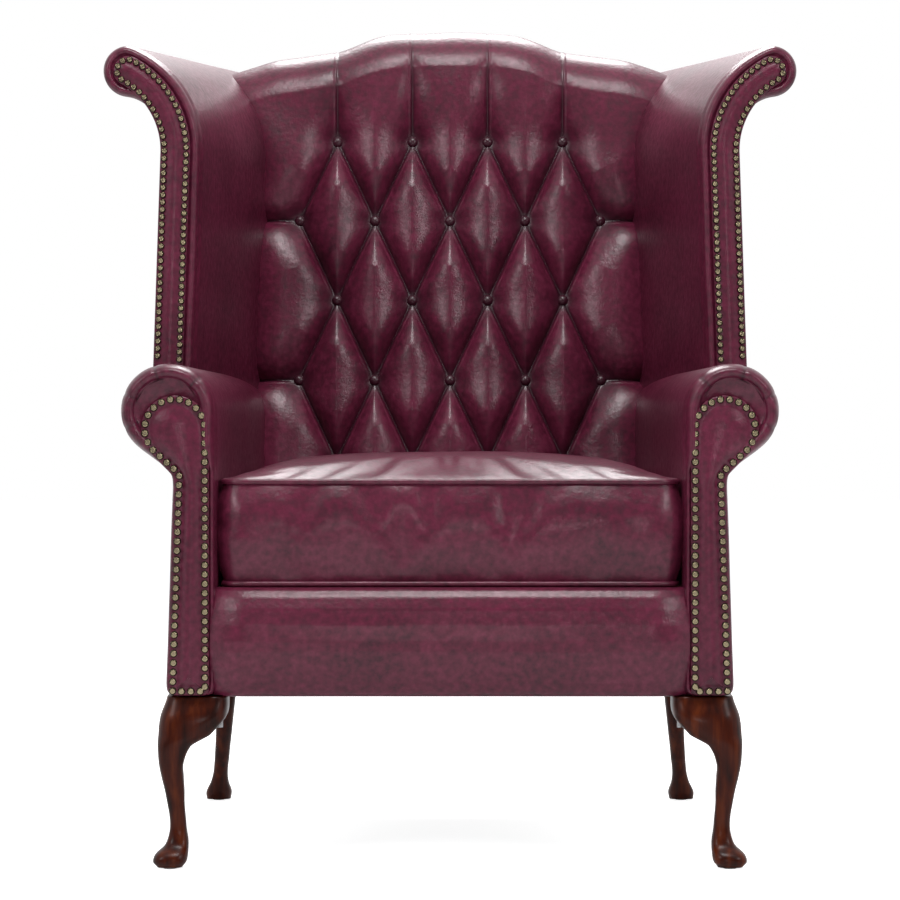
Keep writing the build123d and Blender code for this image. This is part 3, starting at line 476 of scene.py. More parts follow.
def wing_line(wing):
    """The front view of a wing in matching steps: foot, outside, curl, roll, inner curl and inside."""
    roll_z = wing["top"] - wing["roll"]
    centre = Vector((wing["roll_x"], roll_z))
    start = math.radians(wing["start"])
    turns = [start + (math.pi / 2 - start) * i / (ROLL_POINTS - 1) for i in range(ROLL_POINTS)]
    roll = [centre + Vector((math.cos(turn), math.sin(turn))) * wing["roll"] for turn in turns]
    foot = [Vector((x, WING_FOOT_Z)) for x in wing["foot"]]
    neck = [Vector((x, z)) for x, z in zip(wing["neck"], wing["neck_z"])]
    line = [foot[0].lerp(foot[1], i / FOOT_POINTS) for i in range(FOOT_POINTS)]
    line += [foot[1].lerp(neck[1], i / SIDE_POINTS) for i in range(SIDE_POINTS)]
    line += bowed(neck[1], roll[0], OUTER_CURL, OUTER_POINTS)[:-1]
    line += roll[:-1]
    line += bowed(roll[-1], neck[0], -INNER_CURL, INNER_POINTS)[:-1]
    line += [neck[0].lerp(foot[0], i / SIDE_POINTS) for i in range(SIDE_POINTS)]
    for _ in range(WING_SOFTEN):
        line = [(line[i - 1] + line[i] * 2 + line[(i + 1) % len(line)]) / 4 for i in range(len(line))]
    return line


def eased(place):
    """The slight unevenness of stuffing under leather."""
    sag = noise.noise(place * 8) * WING_SAG
    return Vector((place.x + sag, place.y, place.z))


wing = loft_piece(wing_line(WING_FRONT), wing_line(WING_REAR), WING_Y, WING_STEPS, WING_RIM, eased)
twin = mirrored(wing)
for side, piece in (("right", wing), ("left", twin)):
    dress(piece, f"padded_wing_{side}", OXBLOOD)
    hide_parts(f"wing_pad_{side}", f"outside_wing_leather_{side}")

# The arm facings: narrow panels of leather over a thin pad, each closing the front of an arm, with a row of
# close brass nails just inside its edge.
FACING_OUTLINE = dict(
    inner=0.289, outer=0.338, neck_x=0.3295, neck_z=0.470, roll=0.041, top=0.5695, foot=0.209
)
FACING_RINGS = ((0, 0), (0, -0.0042), (0.0014, -0.005), (0.0086, -0.005), (0.0102, -0.0046))
FACING_DOME = ((0.12, -0.0056), (0.3, -0.0074), (0.52, -0.0092), (0.76, -0.0103), (0.97, -0.0107))
FACING_SIDES = 240
SPINE_FOOT = 0.022
SPINE_NECK = 0.01


def facing_spine(point):
    """The nearest place on the line up the middle of a facing."""
    face = FACING_OUTLINE
    roll_z = face["top"] - face["roll"]
    z = min(max(point.y, face["foot"] + SPINE_FOOT), roll_z)
    low = Vector(((face["inner"] + face["outer"]) / 2, face["foot"]))
    neck = Vector(((face["inner"] + face["neck_x"]) / 2, face["neck_z"] - SPINE_NECK))
    top = Vector((face["inner"] + face["roll"], roll_z))
    a, b = (low, neck) if z < neck.y else (neck, top)
    return a.lerp(b, (z - a.y) / (b.y - a.y))


facing_line = even_points(arm_corners(FACING_OUTLINE), FACING_SIDES, soften=6)
facing_rows = len(FACING_RINGS) + len(FACING_DOME)
bpy.ops.mesh.primitive_grid_add(x_subdivisions=FACING_SIDES - 1, y_subdivisions=facing_rows - 1, size=1)
facing = bpy.context.object
for i, (point, normal) in enumerate(zip(facing_line, outward(facing_line))):
    inner_edge = point - normal * FACING_RINGS[-1][0]
    spine = facing_spine(inner_edge)
    column = [(point - normal * inset, depth) for inset, depth in FACING_RINGS]
    column += [(inner_edge.lerp(spine, share), depth) for share, depth in FACING_DOME]
    for row, (flat, depth) in enumerate(column):
        facing.data.vertices[row * FACING_SIDES + i].co = (flat.x, FRONT_Y + depth, flat.y)
join_round(facing, FACING_SIDES, facing_rows)
twin = mirrored(facing)
for side, piece in (("right", facing), ("left", twin)):
    dress(piece, f"arm_facing_{side}_leather", OXBLOOD)
    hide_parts(f"arm_facing_{side}")

# The wing facings: a long strip of padded leather up the front edge of each wing and round its curl, ending
# round, with a row of nails along each edge.
STRIP_HALF = 0.019
STRIP_CURL = 0.146
STRIP_START = (0.362, 0.560)
STRIP_NECK = (0.351, 0.875)
STRIP_END = (0.411, 0.984)
STRIP_ROWS = 200
STRIP_TIP = 0.3
STRIP_PROFILE = (
    (1, 0), (1, 0.0042), (0.93, 0.0052), (0.62, 0.0050), (0.46, 0.0052), (0.3, 0.0068), (0, 0.0078),
)

strip_line = [Vector(STRIP_START)] + bowed(STRIP_NECK, STRIP_END, STRIP_CURL, 40)
beyond = (strip_line[-1] - strip_line[-2]).normalized()
strip_line.append(strip_line[-1] + beyond * STRIP_HALF)
strip_points = even_points(strip_line, STRIP_ROWS, closed=False)
strip_length = sum((b - a).length for a, b in zip(strip_points, strip_points[1:]))
profile = [(-across, rise) for across, rise in STRIP_PROFILE]
profile += reversed(STRIP_PROFILE[:-1])
columns = len(profile)
bpy.ops.mesh.primitive_grid_add(x_subdivisions=columns - 1, y_subdivisions=STRIP_ROWS - 1, size=1)
strip = bpy.context.object
for row, point in enumerate(strip_points):
    ahead = strip_points[min(row + 1, STRIP_ROWS - 1)] - strip_points[max(row - 1, 0)]
    side_way = Vector((ahead.y, -ahead.x)).normalized()
    left = strip_length * (1 - row / (STRIP_ROWS - 1))
    end = min(1.0, left / STRIP_HALF)
    narrow = math.sqrt(max(0.0, 1 - (1 - end) ** 2))
    for column, (across, rise) in enumerate(profile):
        flat = point + side_way * across * STRIP_HALF * narrow
        out = rise * max(narrow, STRIP_TIP)
        strip.data.vertices[row * columns + column].co = (flat.x, WING_Y - out, flat.y)
join_round(strip, columns, STRIP_ROWS)
twin = mirrored(strip)
for side, piece in (("right", strip), ("left", twin)):
    dress(piece, f"wing_facing_{side}_leather", OXBLOOD)
    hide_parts(f"wing_facing_{side}")

# The deep-buttoned back: fibre and hair under one hide, folded between rows of covered buttons into diamonds,
# with upright pleats over the camel top and level pleats out to the wings.
UP_SLOPE = Vector((0, math.sin(RAKE), math.cos(RAKE)))
FORWARD = Vector((0, -math.cos(RAKE), math.sin(RAKE)))
BACK_ORIGIN = Vector((0, REAR_FACE_Y, 0))
BUTTON_PITCH = 0.1034
ROW_PITCH = 0.1109
VALLEY = 0.128
SWELL = 0.030
TOP_ROW_HEIGHT = 0.920
FIRST_ROW = (TOP_ROW_HEIGHT - VALLEY * math.sin(RAKE)) / math.cos(RAKE)
BACK_HALF = 0.275
BACK_SPREAD = 0.030
BACK_FOOT = 0.345
CAMEL_PLACES = (0, 0.053, 0.078, 0.1025, 0.123, 0.143, 0.164, 0.205, 0.242, 0.283, 0.32)
CAMEL_HEIGHTS = (1.0728, 1.0721, 1.0697, 1.0648, 1.0566, 1.0484, 1.0435, 1.0369, 1.0321, 1.0198, 1.006)
CAMEL_ROLL = 0.046
TOP_LIFT = 0.45
BACK_COLUMNS = 420
BACK_ROWS = 620
OVER_TOP = 0.150
OUTERMOST = 4
FOUR_ACROSS, FIVE_ACROSS = (-3, -1, 1, 3), (-4, -2, 0, 2, 4)
BUTTONS = [(r, row) for row in range(5) for r in (FIVE_ACROSS if row % 2 else FOUR_ACROSS)]
FADE_ABOVE, ABOVE_LENGTH = 0.55, 0.07
FADE_TOP, TOP_BELOW, TOP_LENGTH = 0.38, 0.085, 0.06
SPREAD_BELOW, SPREAD_LENGTH = 0.05, 0.09
CREASE_ROUND = 0.0075
CREASE_SHARE = 0.45
PANEL_REACH = 0.036
WELL, WELL_DRAW, WELL_REACH, WELL_SHADE = 0.015, 0.42, 0.046, 0.0165
LAP, LAP_AT, LAP_HALF = 0.085, 0.0028, 0.0014
CREASE_SHADE_STRENGTH, CREASE_SHADE = 0.85, 0.0024
SIDE_DROP, SIDE_REACH, SIDE_BELOW, SIDE_LENGTH = 0.034, 0.05, 0.02, 0.1
BACK_SAG = 0.0022


def camel_height(x):
    """The top of the back at places across it: a hump that dips to the shoulders."""
    fine = np.linspace(-0.34, 0.34, 681)
    heights = np.interp(abs(fine), CAMEL_PLACES, CAMEL_HEIGHTS)
    smooth = np.convolve(np.pad(heights, 10, mode="edge"), np.ones(21) / 21, mode="valid")
    return np.interp(x, fine, smooth)


def button_place(r, row):
    """Where a button is on the back: across it and up it."""
    return r * BUTTON_PITCH / 2, FIRST_ROW - row * ROW_PITCH


def fold_lines():
    """The folds as straight lines: the diamonds' sides, the upright pleats and the level ones."""
    lines = []
    for r, row in BUTTONS:
        here = button_place(r, row)
        lines += [(*here, *button_place(r + turn, row + 1)) for turn in (-1, 1) if abs(r + turn) <= OUTERMOST]
        if row == 0:
            lines.append((*here, here[0], here[1] + 0.6))
        if abs(r) == OUTERMOST:
            lines.append((*here, math.copysign(0.4, r), here[1]))
    return lines


def climb(values, start, length):
    """A smooth change from 0 to 1 over a length."""
    share = np.clip((values - start) / length, 0, 1)
    return share * share * (3 - 2 * share)


bpy.ops.mesh.primitive_grid_add(x_subdivisions=BACK_COLUMNS, y_subdivisions=BACK_ROWS, size=1)
back = bpy.context.object
places = np.empty(len(back.data.vertices) * 3)
back.data.vertices.foreach_get("co", places)
places = places.reshape(-1, 3)
side = places[:, 0] * 2
x = side * BACK_HALF
half_turn = CAMEL_ROLL * math.pi / 2
roll_lean = (VALLEY - CAMEL_ROLL) * math.sin(RAKE)
crown = (camel_height(x * 1.1) - SWELL * TOP_LIFT - roll_lean) / math.cos(RAKE)
straight = crown - CAMEL_ROLL
travel = (places[:, 1] + 0.5) * (straight - BACK_FOOT + half_turn + OVER_TOP)
v = BACK_FOOT + travel
above = climb(v, FIRST_ROW, ABOVE_LENGTH)
near_top = climb(v, crown - TOP_BELOW, TOP_LENGTH)
x = side * (BACK_HALF + BACK_SPREAD * climb(v, FIRST_ROW - SPREAD_BELOW, SPREAD_LENGTH))
near = np.full(len(x), 9.0)
crowd = np.zeros(len(x))
lapped = np.zeros(len(x))
for ax, av, bx, bv in fold_lines():
    dx, dv = bx - ax, bv - av
    share = np.clip(((x - ax) * dx + (v - av) * dv) / (dx * dx + dv * dv), 0, 1)
    away = np.hypot(x - ax - share * dx, v - av - share * dv)
    turn = ((x - ax) * dv - (v - av) * dx) * math.copysign(1, dx if abs(dx) > 1e-6 else ax)
    crowd += (away + 0.0005) ** -3
    closer = away < near
    near = np.where(closer, away, near)
    lapped = np.where(closer, turn > 0, lapped)
to_button = np.full(len(x), 9.0)
for r, row in BUTTONS:
    bx, bv = button_place(r, row)
    to_button = np.minimum(to_button, np.hypot(x - bx, v - bv))
swollen = np.sin(np.clip(crowd ** (-1 / 3) / PANEL_REACH, 0, 1) * math.pi / 2)
dome = CREASE_SHARE * (1 - np.exp(-near / CREASE_ROUND)) + (1 - CREASE_SHARE) * swollen
depth = 1 - FADE_ABOVE * above - FADE_TOP * near_top
lift = 1 - depth * (1 - dome)
free = 1 - np.exp(-((to_button / WELL) ** 2))
free *= 1 - WELL_DRAW * np.exp(-((to_button / WELL_REACH) ** 2))
lift *= free
lift += LAP * lapped * free * np.exp(-(((near - LAP_AT) / LAP_HALF) ** 2)) * (1 - 0.5 * near_top)
past = np.maximum(0, travel - (straight - BACK_FOOT))
lift *= SWELL * (TOP_LIFT + (1 - TOP_LIFT) * np.clip(1 - past / half_turn, 0, 1))
edge = np.clip((1 - abs(side)) * BACK_HALF / SIDE_REACH, 0, 1)
below = 1 - climb(v, FIRST_ROW - SIDE_BELOW, SIDE_LENGTH)
lift -= SIDE_DROP * (1 - np.sqrt(1 - (1 - edge) ** 2)) * below
lift += np.array([noise.noise(Vector((a * 14, b * 14, 0))) for a, b in zip(x, v)]) * BACK_SAG * dome
turn = np.clip(past / CAMEL_ROLL, 0, math.pi / 2)
beyond = np.clip(past - half_turn, 0, VALLEY - CAMEL_ROLL - 0.004)
out = (VALLEY - CAMEL_ROLL) - beyond + (CAMEL_ROLL + lift) * np.cos(turn)
rise = BACK_FOOT + np.minimum(travel, straight - BACK_FOOT) + (CAMEL_ROLL + lift) * np.sin(turn)
places[:, 0] = x
places[:, 1] = BACK_ORIGIN.y + rise * UP_SLOPE.y + out * FORWARD.y
places[:, 2] = BACK_ORIGIN.z + rise * UP_SLOPE.z + out * FORWARD.z
back.data.vertices.foreach_set("co", places.ravel())
# Painted shade: the hide is darkened along the creases and in the wells round the buttons, where shade falls,
# less over the camel top.
painted_fold_shade = back.data.attributes.new("painted_fold_shade", "FLOAT", "POINT")
dark = CREASE_SHADE_STRENGTH * np.exp(-((near / CREASE_SHADE) ** 2)) * (1 - 0.3 * near_top)
dark += np.exp(-((to_button / WELL_SHADE) ** 2))
painted_fold_shade.data.foreach_set("value", np.clip(dark, 0, 1))
bpy.ops.object.shade_smooth()
dress(back, "deep_buttoned_back", OXBLOOD)
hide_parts("tufted_back")

# The buttons: wooden moulds covered in the same hide and drawn into the stuffing by twine, so that each one
# sits at the foot of a well where four folds meet.
BUTTON_RADIUS = 0.008
BUTTON_RISE = 0.0066
BUTTON_SEAT = VALLEY - 0.0015
BUTTON_UNDER = 0.003
BUTTON_SHADE = 0.85
bpy.ops.object.select_all(action="DESELECT")
button_list = []
for r, row in BUTTONS:
    bpy.ops.mesh.primitive_uv_sphere_add(segments=28, ring_count=14, radius=BUTTON_RADIUS)
    button = bpy.context.object
    across, up = button_place(r, row)
    place = BACK_ORIGIN + UP_SLOPE * up + FORWARD * BUTTON_SEAT + Vector((across, 0, 0))
    for vert in button.data.vertices:
        out = max(-BUTTON_UNDER, vert.co.z * BUTTON_RISE / BUTTON_RADIUS)
        vert.co = place + Vector((vert.co.x, 0, 0)) + UP_SLOPE * vert.co.y + FORWARD * out
    button.data.update()
    button_list.append(button)
for button in button_list:
    button.select_set(True)
bpy.context.view_layer.objects.active = button_list[0]
bpy.ops.object.join()
buttons = bpy.context.object
bpy.ops.object.shade_smooth()
mesh = bmesh.new()
mesh.from_mesh(buttons.data)
bmesh.ops.recalc_face_normals(mesh, faces=mesh.faces)
mesh.to_mesh(buttons.data)
mesh.free()
# Painted shade: each button is darkened all over, standing in for the shade of the well it sits in.
shade = buttons.data.attributes.new("painted_fold_shade", "FLOAT", "POINT")
shade.data.foreach_set("value", [BUTTON_SHADE] * len(buttons.data.vertices))
dress(buttons, "covered_buttons", OXBLOOD)
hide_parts("back_buttons")

# The front border: a padded strip of hide over the front rail, full in the middle of its height, tucked in
# behind the arm facings and turned in under the cushion.
BORDER_LOW, BORDER_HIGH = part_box("front_border")
BORDER_COLUMNS = 160
BORDER_ROWS = 60
BORDER_FOOT = 0.2068
BORDER_BACK = 0.001
TUCK_DEPTH, TUCK_REACH = 0.016, 0.045
BORDER_RIPPLE = 0.0018
BORDER_PROFILE = (
    (0.030, 0.0), (0.012, 0.0), (0.005, 0.015), (0.0, 0.05), (-0.006, 0.13), (-0.0115, 0.27), (-0.0145, 0.42),
    (-0.015, 0.52), (-0.0135, 0.66), (-0.009, 0.81), (-0.003, 0.92), (0.004, 0.985), (0.012, 1.0),
    (0.030, 1.0),
)
bpy.ops.mesh.primitive_grid_add(x_subdivisions=BORDER_COLUMNS - 1, y_subdivisions=BORDER_ROWS - 1, size=1)
border = bpy.context.object
for row, point in enumerate(even_points(BORDER_PROFILE, BORDER_ROWS, closed=False)):
    for column in range(BORDER_COLUMNS):
        share = column / (BORDER_COLUMNS - 1)
        x = BORDER_LOW.x + (BORDER_HIGH.x - BORDER_LOW.x) * share
        edge = min(share, 1 - share) * (BORDER_HIGH.x - BORDER_LOW.x)
        tuck = TUCK_DEPTH * (1 - min(1, edge / TUCK_REACH)) ** 2
        z = BORDER_FOOT + (BORDER_HIGH.z - BORDER_FOOT) * point.y
        ripple = noise.noise(Vector((x * 7, 0, z * 16))) * BORDER_RIPPLE
        y = BORDER_LOW.y + point.x + tuck + ripple + BORDER_BACK
        border.data.vertices[row * BORDER_COLUMNS + column].co = (x, y, z)
bpy.ops.object.shade_smooth()
dress(border, "padded_front_border", OXBLOOD)
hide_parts("front_border")

# The seat cushion: a loose block of feather-wrapped foam in a boxed leather cover, crowned on top, its sides
# drawn in between the corners and its seams piped.
SEAM_TOP = 0.465
CROWN = 0.024
CROWN_MARGIN = 0.001
CROWN_STEP = 0.003
CUSHION_LOW, CUSHION_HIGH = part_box("seat_cushion")
CUSHION_FRONT_HALF = CUSHION_HIGH.x
CUSHION_REAR_HALF = CUSHION_FRONT_HALF - 0.0285
CUSHION_CORNER = 0.024
CUSHION_SET_BACK = 0.005
CUSHION_SIDES = 132
CORNER_POINTS, EDGE_POINTS = 8, 20
SIDE_PULL, SIDE_BOW = 0.004, 0.0115
FOOT_RINGS, SIDE_RINGS, CROWN_RINGS = 7, 9, 20
SIDE_CRUSH, CROWN_CRUSH = 0.003, 0.0016
WRINKLE, WRINKLE_X, WRINKLE_SPREAD, WRINKLE_HALF = 0.0022, 0.16, 0.07, 0.075
WRINKLES = ((0.8, 0.5), (0.56, -0.3), (0.36, 0.4))
PIPING = 0.0036
PIPING_OUT = 0.0012
SEAM_CREASE = 0.85
COVER_FRAMES = 20


def stuff_cover(piece, held, pressure, shrink, most):
    """Fills a cover as stuffing does: cloth held at its seams, pressed out, and moved no further than most."""
    before = [vert.co.copy() for vert in piece.data.vertices]
    seam = piece.vertex_groups.new(name="seam")
    seam.add(held, 1.0, "REPLACE")
    bpy.context.view_layer.objects.active = piece
    cover = piece.modifiers.new("cover", "CLOTH")
    hide = cover.settings
    hide.quality = 3
    hide.mass = 0.4
    hide.tension_stiffness = hide.compression_stiffness = 18
    hide.shear_stiffness = 6
    hide.bending_stiffness = 1.2
    hide.use_pressure = True
    hide.uniform_pressure_force = pressure
    hide.shrink_min = shrink
    hide.vertex_group_mass = "seam"
    hide.effector_weights.gravity = 0
    cover.collision_settings.use_collision = False
    cover.point_cache.frame_start = 1
    cover.point_cache.frame_end = COVER_FRAMES
    for frame_number in range(1, COVER_FRAMES + 1):
        bpy.context.scene.frame_set(frame_number)
    bpy.ops.object.modifier_apply(modifier="cover")
    bpy.context.scene.frame_set(1)
    for vert, start in zip(piece.data.vertices, before):
        moved = vert.co - start
        if moved.length > most:
            vert.co = start + moved * (most / moved.length)
    piece.vertex_groups.clear()


def cushion_outline():
    """The cushion from above, its corners rounded and its sides drawn in."""
    front, rear = CUSHION_LOW.y + CUSHION_SET_BACK, CUSHION_HIGH.y
    ends = [
        Vector((-CUSHION_FRONT_HALF, front)),
        Vector((CUSHION_FRONT_HALF, front)),
        Vector((CUSHION_REAR_HALF, rear)),
        Vector((-CUSHION_REAR_HALF, rear)),
    ]
    corners = []
    for i, corner in enumerate(ends):
        away = ends[(i + 1) % 4] - corner
        before = (ends[i - 1] - corner).normalized()
        after = away.normalized()
        start, end = corner + before * CUSHION_CORNER, corner + after * CUSHION_CORNER
        for k in range(CORNER_POINTS + 1):
            t = k / CORNER_POINTS
            corners.append(start * (1 - t) ** 2 + corner * 2 * t * (1 - t) + end * t**2)
        straight = away - after * 2 * CUSHION_CORNER
        inward = Vector((-away.y, away.x)).normalized()
        for k in range(1, EDGE_POINTS):
            share = k / EDGE_POINTS
            pull = SIDE_PULL * (1 - (2 * share - 1) ** 2)
            corners.append(corner + after * CUSHION_CORNER + straight * share + inward * pull)
    return even_points(corners, CUSHION_SIDES)


plan = cushion_outline()
plan_normals = outward(plan)
plan_centre = sum(plan, Vector((0, 0))) / len(plan)
rings = [(k / FOOT_RINGS, "foot") for k in range(1, FOOT_RINGS)]
rings += [(k / SIDE_RINGS, "side") for k in range(SIDE_RINGS + 1)]
rings += [(1 - k / CROWN_RINGS, "crown") for k in range(1, CROWN_RINGS)]
bpy.ops.mesh.primitive_grid_add(x_subdivisions=CUSHION_SIDES - 1, y_subdivisions=len(rings) - 1, size=1)
cushion = bpy.context.object
half_deep = (CUSHION_HIGH.y - CUSHION_LOW.y) / 2
for row, (share, part) in enumerate(rings):
    for i in range(CUSHION_SIDES):
        rim = plan[i]
        if part == "side":
            bow = SIDE_BOW * (1 - (2 * share - 1) ** 2)
            sag = noise.noise(Vector((rim.x * 5, rim.y * 5, share * 5.5)))
            crush = sag * SIDE_CRUSH * math.sin(math.pi * share)
            beside = abs(rim.x) - WRINKLE_X
            aside = math.exp(-((beside / WRINKLE_SPREAD) ** 2))
            for level, slant in WRINKLES:
                drawn = (share - level - slant * beside) / WRINKLE_HALF
                crush += WRINKLE * aside * math.exp(-(drawn**2))
            flat = rim + plan_normals[i] * (bow + crush)
            z = CUSHION_LOW.z + PIPING + (SEAM_TOP - CUSHION_LOW.z - PIPING) * share
        elif part == "foot":
            flat = plan_centre + (rim - plan_centre) * share
            z = CUSHION_LOW.z + PIPING * share**12
        else:
            flat = plan_centre + (rim - plan_centre) * share
            u = abs(flat.x) / (CUSHION_FRONT_HALF + CROWN_MARGIN)
            w = abs(flat.y - plan_centre.y) / (half_deep + CROWN_MARGIN)
            swell = (1 - min(1, u) ** 2.4) ** 0.8 * (1 - min(1, w) ** 2.4) ** 0.8
            z = SEAM_TOP + CROWN * swell + CROWN_STEP * (1 - share**40)
            z += noise.noise(Vector((flat.x * 6, flat.y * 6, 3))) * CROWN_CRUSH * (1 - share**8)
        cushion.data.vertices[row * CUSHION_SIDES + i].co = (flat.x, flat.y, z)
join_round(cushion, CUSHION_SIDES, len(rings))
foot_row = FOOT_RINGS - 1
seams = [row * CUSHION_SIDES + i for row in (foot_row, foot_row + SIDE_RINGS) for i in range(CUSHION_SIDES)]
seam_points = set(seams)
under = [row * CUSHION_SIDES + i for row in range(foot_row) for i in range(CUSHION_SIDES)]
stuff_cover(cushion, seams + under, pressure=4.0, shrink=-0.018, most=0.006)
sharp = cushion.data.attributes.new("crease_edge", "FLOAT", "EDGE")
for edge in cushion.data.edges:
    if all(index in seam_points for index in edge.vertices):
        sharp.data[edge.index].value = SEAM_CREASE
smoother = cushion.modifiers.new("smoother", "SUBSURF")
smoother.levels = 2
bpy.ops.object.modifier_apply(modifier="smoother")
dress(cushion, "seat_cushion_cover", OXBLOOD, CUSHION_BODY)
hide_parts("seat_cushion")


def cord_ring(line, height, radius, around=12):
    """A round welt along a closed line at a height."""
    count = len(line)
    normals = outward(line)
    bpy.ops.mesh.primitive_grid_add(x_subdivisions=around - 1, y_subdivisions=count - 1, size=1)
    ring = bpy.context.object
    for row in range(count):
        for k in range(around):
            turn = 2 * math.pi * k / around
            flat = line[row] + normals[row] * radius * math.cos(turn)
            ring.data.vertices[row * around + k].co = (flat.x, flat.y, height + radius * math.sin(turn))
    mesh = bmesh.new()
    mesh.from_mesh(ring.data)
    mesh.verts.ensure_lookup_table()
    for row in range(count):
        a, b = row * around, (row + 1) % count * around
        for k in range(around):
            n = (k + 1) % around
            if row == count - 1 or n == 0:
                mesh.faces.new([mesh.verts[j] for j in (a + k, a + n, b + n, b + k)])
    bmesh.ops.recalc_face_normals(mesh, faces=mesh.faces)
    mesh.to_mesh(ring.data)
    mesh.free()
    bpy.ops.object.shade_smooth()
    return ring


piping_line = [point + normal * PIPING_OUT for point, normal in zip(plan, plan_normals)]
top_piping = cord_ring(piping_line, SEAM_TOP, PIPING)
dress(top_piping, "cushion_piping_top", OXBLOOD, CUSHION_BODY)
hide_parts("cushion_piping")
foot_piping = cord_ring(piping_line, CUSHION_LOW.z + PIPING, PIPING)
dress(foot_piping, "cushion_piping_foot", OXBLOOD, CUSHION_BODY)
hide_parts("cushion_piping")

# The legs: dark polished mahogany, cabriole in front, turned out at 45 degrees with a knee and a pad foot,
# and plain behind, swept back and flared at the foot.
WOOD_DARK = (0.014, 0.002, 0.0008)
WOOD_MID = (0.045, 0.006, 0.0015)
WOOD_LIGHT = (0.095, 0.017, 0.003)
LEG_FOOT = 0.002
LEG_TOP = 0.2067
FRONT_LEG_X, FRONT_LEG_Y, FRONT_LEG_REACH = 0.268, -0.313, 0.075
FRONT_HEIGHTS = (1, 0.88, 0.77, 0.71, 0.61, 0.53, 0.45, 0.37, 0.29, 0.22, 0.16, 0.12, 0.075, 0.03, 0)
FRONT_OUTER = (0.98, 1.09, 1.12, 1.12, 1.1, 1.06, 1.01, 0.97, 0.935, 0.93, 0.965, 1.02, 1.155, 1.19, 1.12)
FRONT_INNER = (0, 0.03, 0.28, 0.58, 0.7, 0.7, 0.69, 0.69, 0.675, 0.66, 0.635, 0.63, 0.635, 0.655, 0.72)
REAR_TOP, REAR_FOOT, REAR_WIDTH = (0.310, 0.262), (0.326, 0.344), 0.034
REAR_HEIGHTS = (1, 0.72, 0.48, 0.29, 0.19, 0.12, 0.05, 0)
REAR_TRAVEL = (0, 0.1, 0.34, 0.6, 0.77, 0.88, 0.97, 1)
REAR_WIDTHS = (1, 0.8, 0.66, 0.6, 0.6, 0.74, 1.05, 1)
LEG_SIDES = 40
LEG_ROWS = 110
LEG_SQUARE_FROM = 0.72
SQUARE_FOOT, SQUARE_POWER = 0.5, 0.62


def smooth_between(places, values, at):
    """A value on a smooth line through places that fall."""
    last = len(places) - 1
    i = 0
    while i < last - 1 and at < places[i + 1]:
        i += 1
    share = (at - places[i]) / (places[i + 1] - places[i])
    before, after = values[max(i - 1, 0)], values[min(i + 2, last)]
    a, b = values[i], values[i + 1]
    return 0.5 * (
        2 * a + (b - before) * share + (2 * before - 5 * a + 4 * b - after) * share**2
        + (3 * a - before - 3 * b + after) * share**3
    )


def leg_piece(middle_and_width):
    """A leg drawn up from its foot through rounded square sections."""
    bpy.ops.mesh.primitive_grid_add(x_subdivisions=LEG_SIDES - 1, y_subdivisions=LEG_ROWS - 1, size=1)
    leg = bpy.context.object
    for row in range(LEG_ROWS):
        height = row / (LEG_ROWS - 1)
        x, y, width = middle_and_width(height)
        up_block = max(0.0, (height - LEG_SQUARE_FROM) / (1 - LEG_SQUARE_FROM))
        power = 1 - SQUARE_POWER * (SQUARE_FOOT + (1 - SQUARE_FOOT) * up_block)
        z = LEG_FOOT + (LEG_TOP - LEG_FOOT) * height
        for i in range(LEG_SIDES):
            turn = 2 * math.pi * i / LEG_SIDES
            c, s = math.cos(turn), math.sin(turn)
            across = math.copysign(abs(c) ** power, c) * width / 2
            along = math.copysign(abs(s) ** power, s) * width / 2
            leg.data.vertices[row * LEG_SIDES + i].co = (x + across, y + along, z)
    join_round(leg, LEG_SIDES, LEG_ROWS)
    return leg


def front_section(height):
    """The middle and width of a front leg at a share of its height."""
    outer = smooth_between(FRONT_HEIGHTS, FRONT_OUTER, height)
    inner = smooth_between(FRONT_HEIGHTS, FRONT_INNER, height)
    middle = FRONT_LEG_REACH * (outer + inner) / 2
    return FRONT_LEG_X + middle, FRONT_LEG_Y - middle, FRONT_LEG_REACH * (outer - inner)


def rear_section(height):
    """The middle and width of a rear leg at a share of its height."""
    travel = smooth_between(REAR_HEIGHTS, REAR_TRAVEL, height)
    width = REAR_WIDTH * smooth_between(REAR_HEIGHTS, REAR_WIDTHS, height)
    x = REAR_TOP[0] + (REAR_FOOT[0] - REAR_TOP[0]) * travel
    y = REAR_TOP[1] + (REAR_FOOT[1] - REAR_TOP[1]) * travel
    return x, y, width


mahogany = bpy.data.materials.new("mahogany")
mahogany.use_nodes = True
tree = mahogany.node_tree
where = tree.nodes.new("ShaderNodeTexCoord").outputs["Object"]
stretch = tree.nodes.new("ShaderNodeMapping")
stretch.inputs["Scale"].default_value = (1, 1, 0.09)
tree.links.new(where, stretch.inputs["Vector"])
figure = noise_node(tree, 95, 7, stretch.outputs[0])
colour = ramp_node(tree, ((0.32, WOOD_DARK), (0.52, WOOD_MID), (0.72, WOOD_LIGHT)), figure.outputs["Fac"])
wood_shader = tree.nodes["Principled BSDF"]
tree.links.new(colour.outputs[0], wood_shader.inputs["Base Color"])
wood_bump = tree.nodes.new("ShaderNodeBump")
wood_bump.inputs["Strength"].default_value = 0.08
wood_bump.inputs["Distance"].default_value = 0.0008
tree.links.new(figure.outputs["Fac"], wood_bump.inputs["Height"])
tree.links.new(wood_bump.outputs[0], wood_shader.inputs["Normal"])
wood_shader.inputs["Roughness"].default_value = 0.34
wood_shader.inputs["Specular IOR Level"].default_value = 0.14
wood_shader.inputs["Coat Weight"].default_value = 0.06
wood_shader.inputs["Coat Roughness"].default_value = 0.15
for place, section in (("front", front_section), ("rear", rear_section)):
    leg = leg_piece(section)
    twin = mirrored(leg)
    for side, piece in (("right", leg), ("left", twin)):
        dress(piece, f"{place}_leg_{side}_polished", mahogany, BODY)
        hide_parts(f"{place}_leg_{side}")

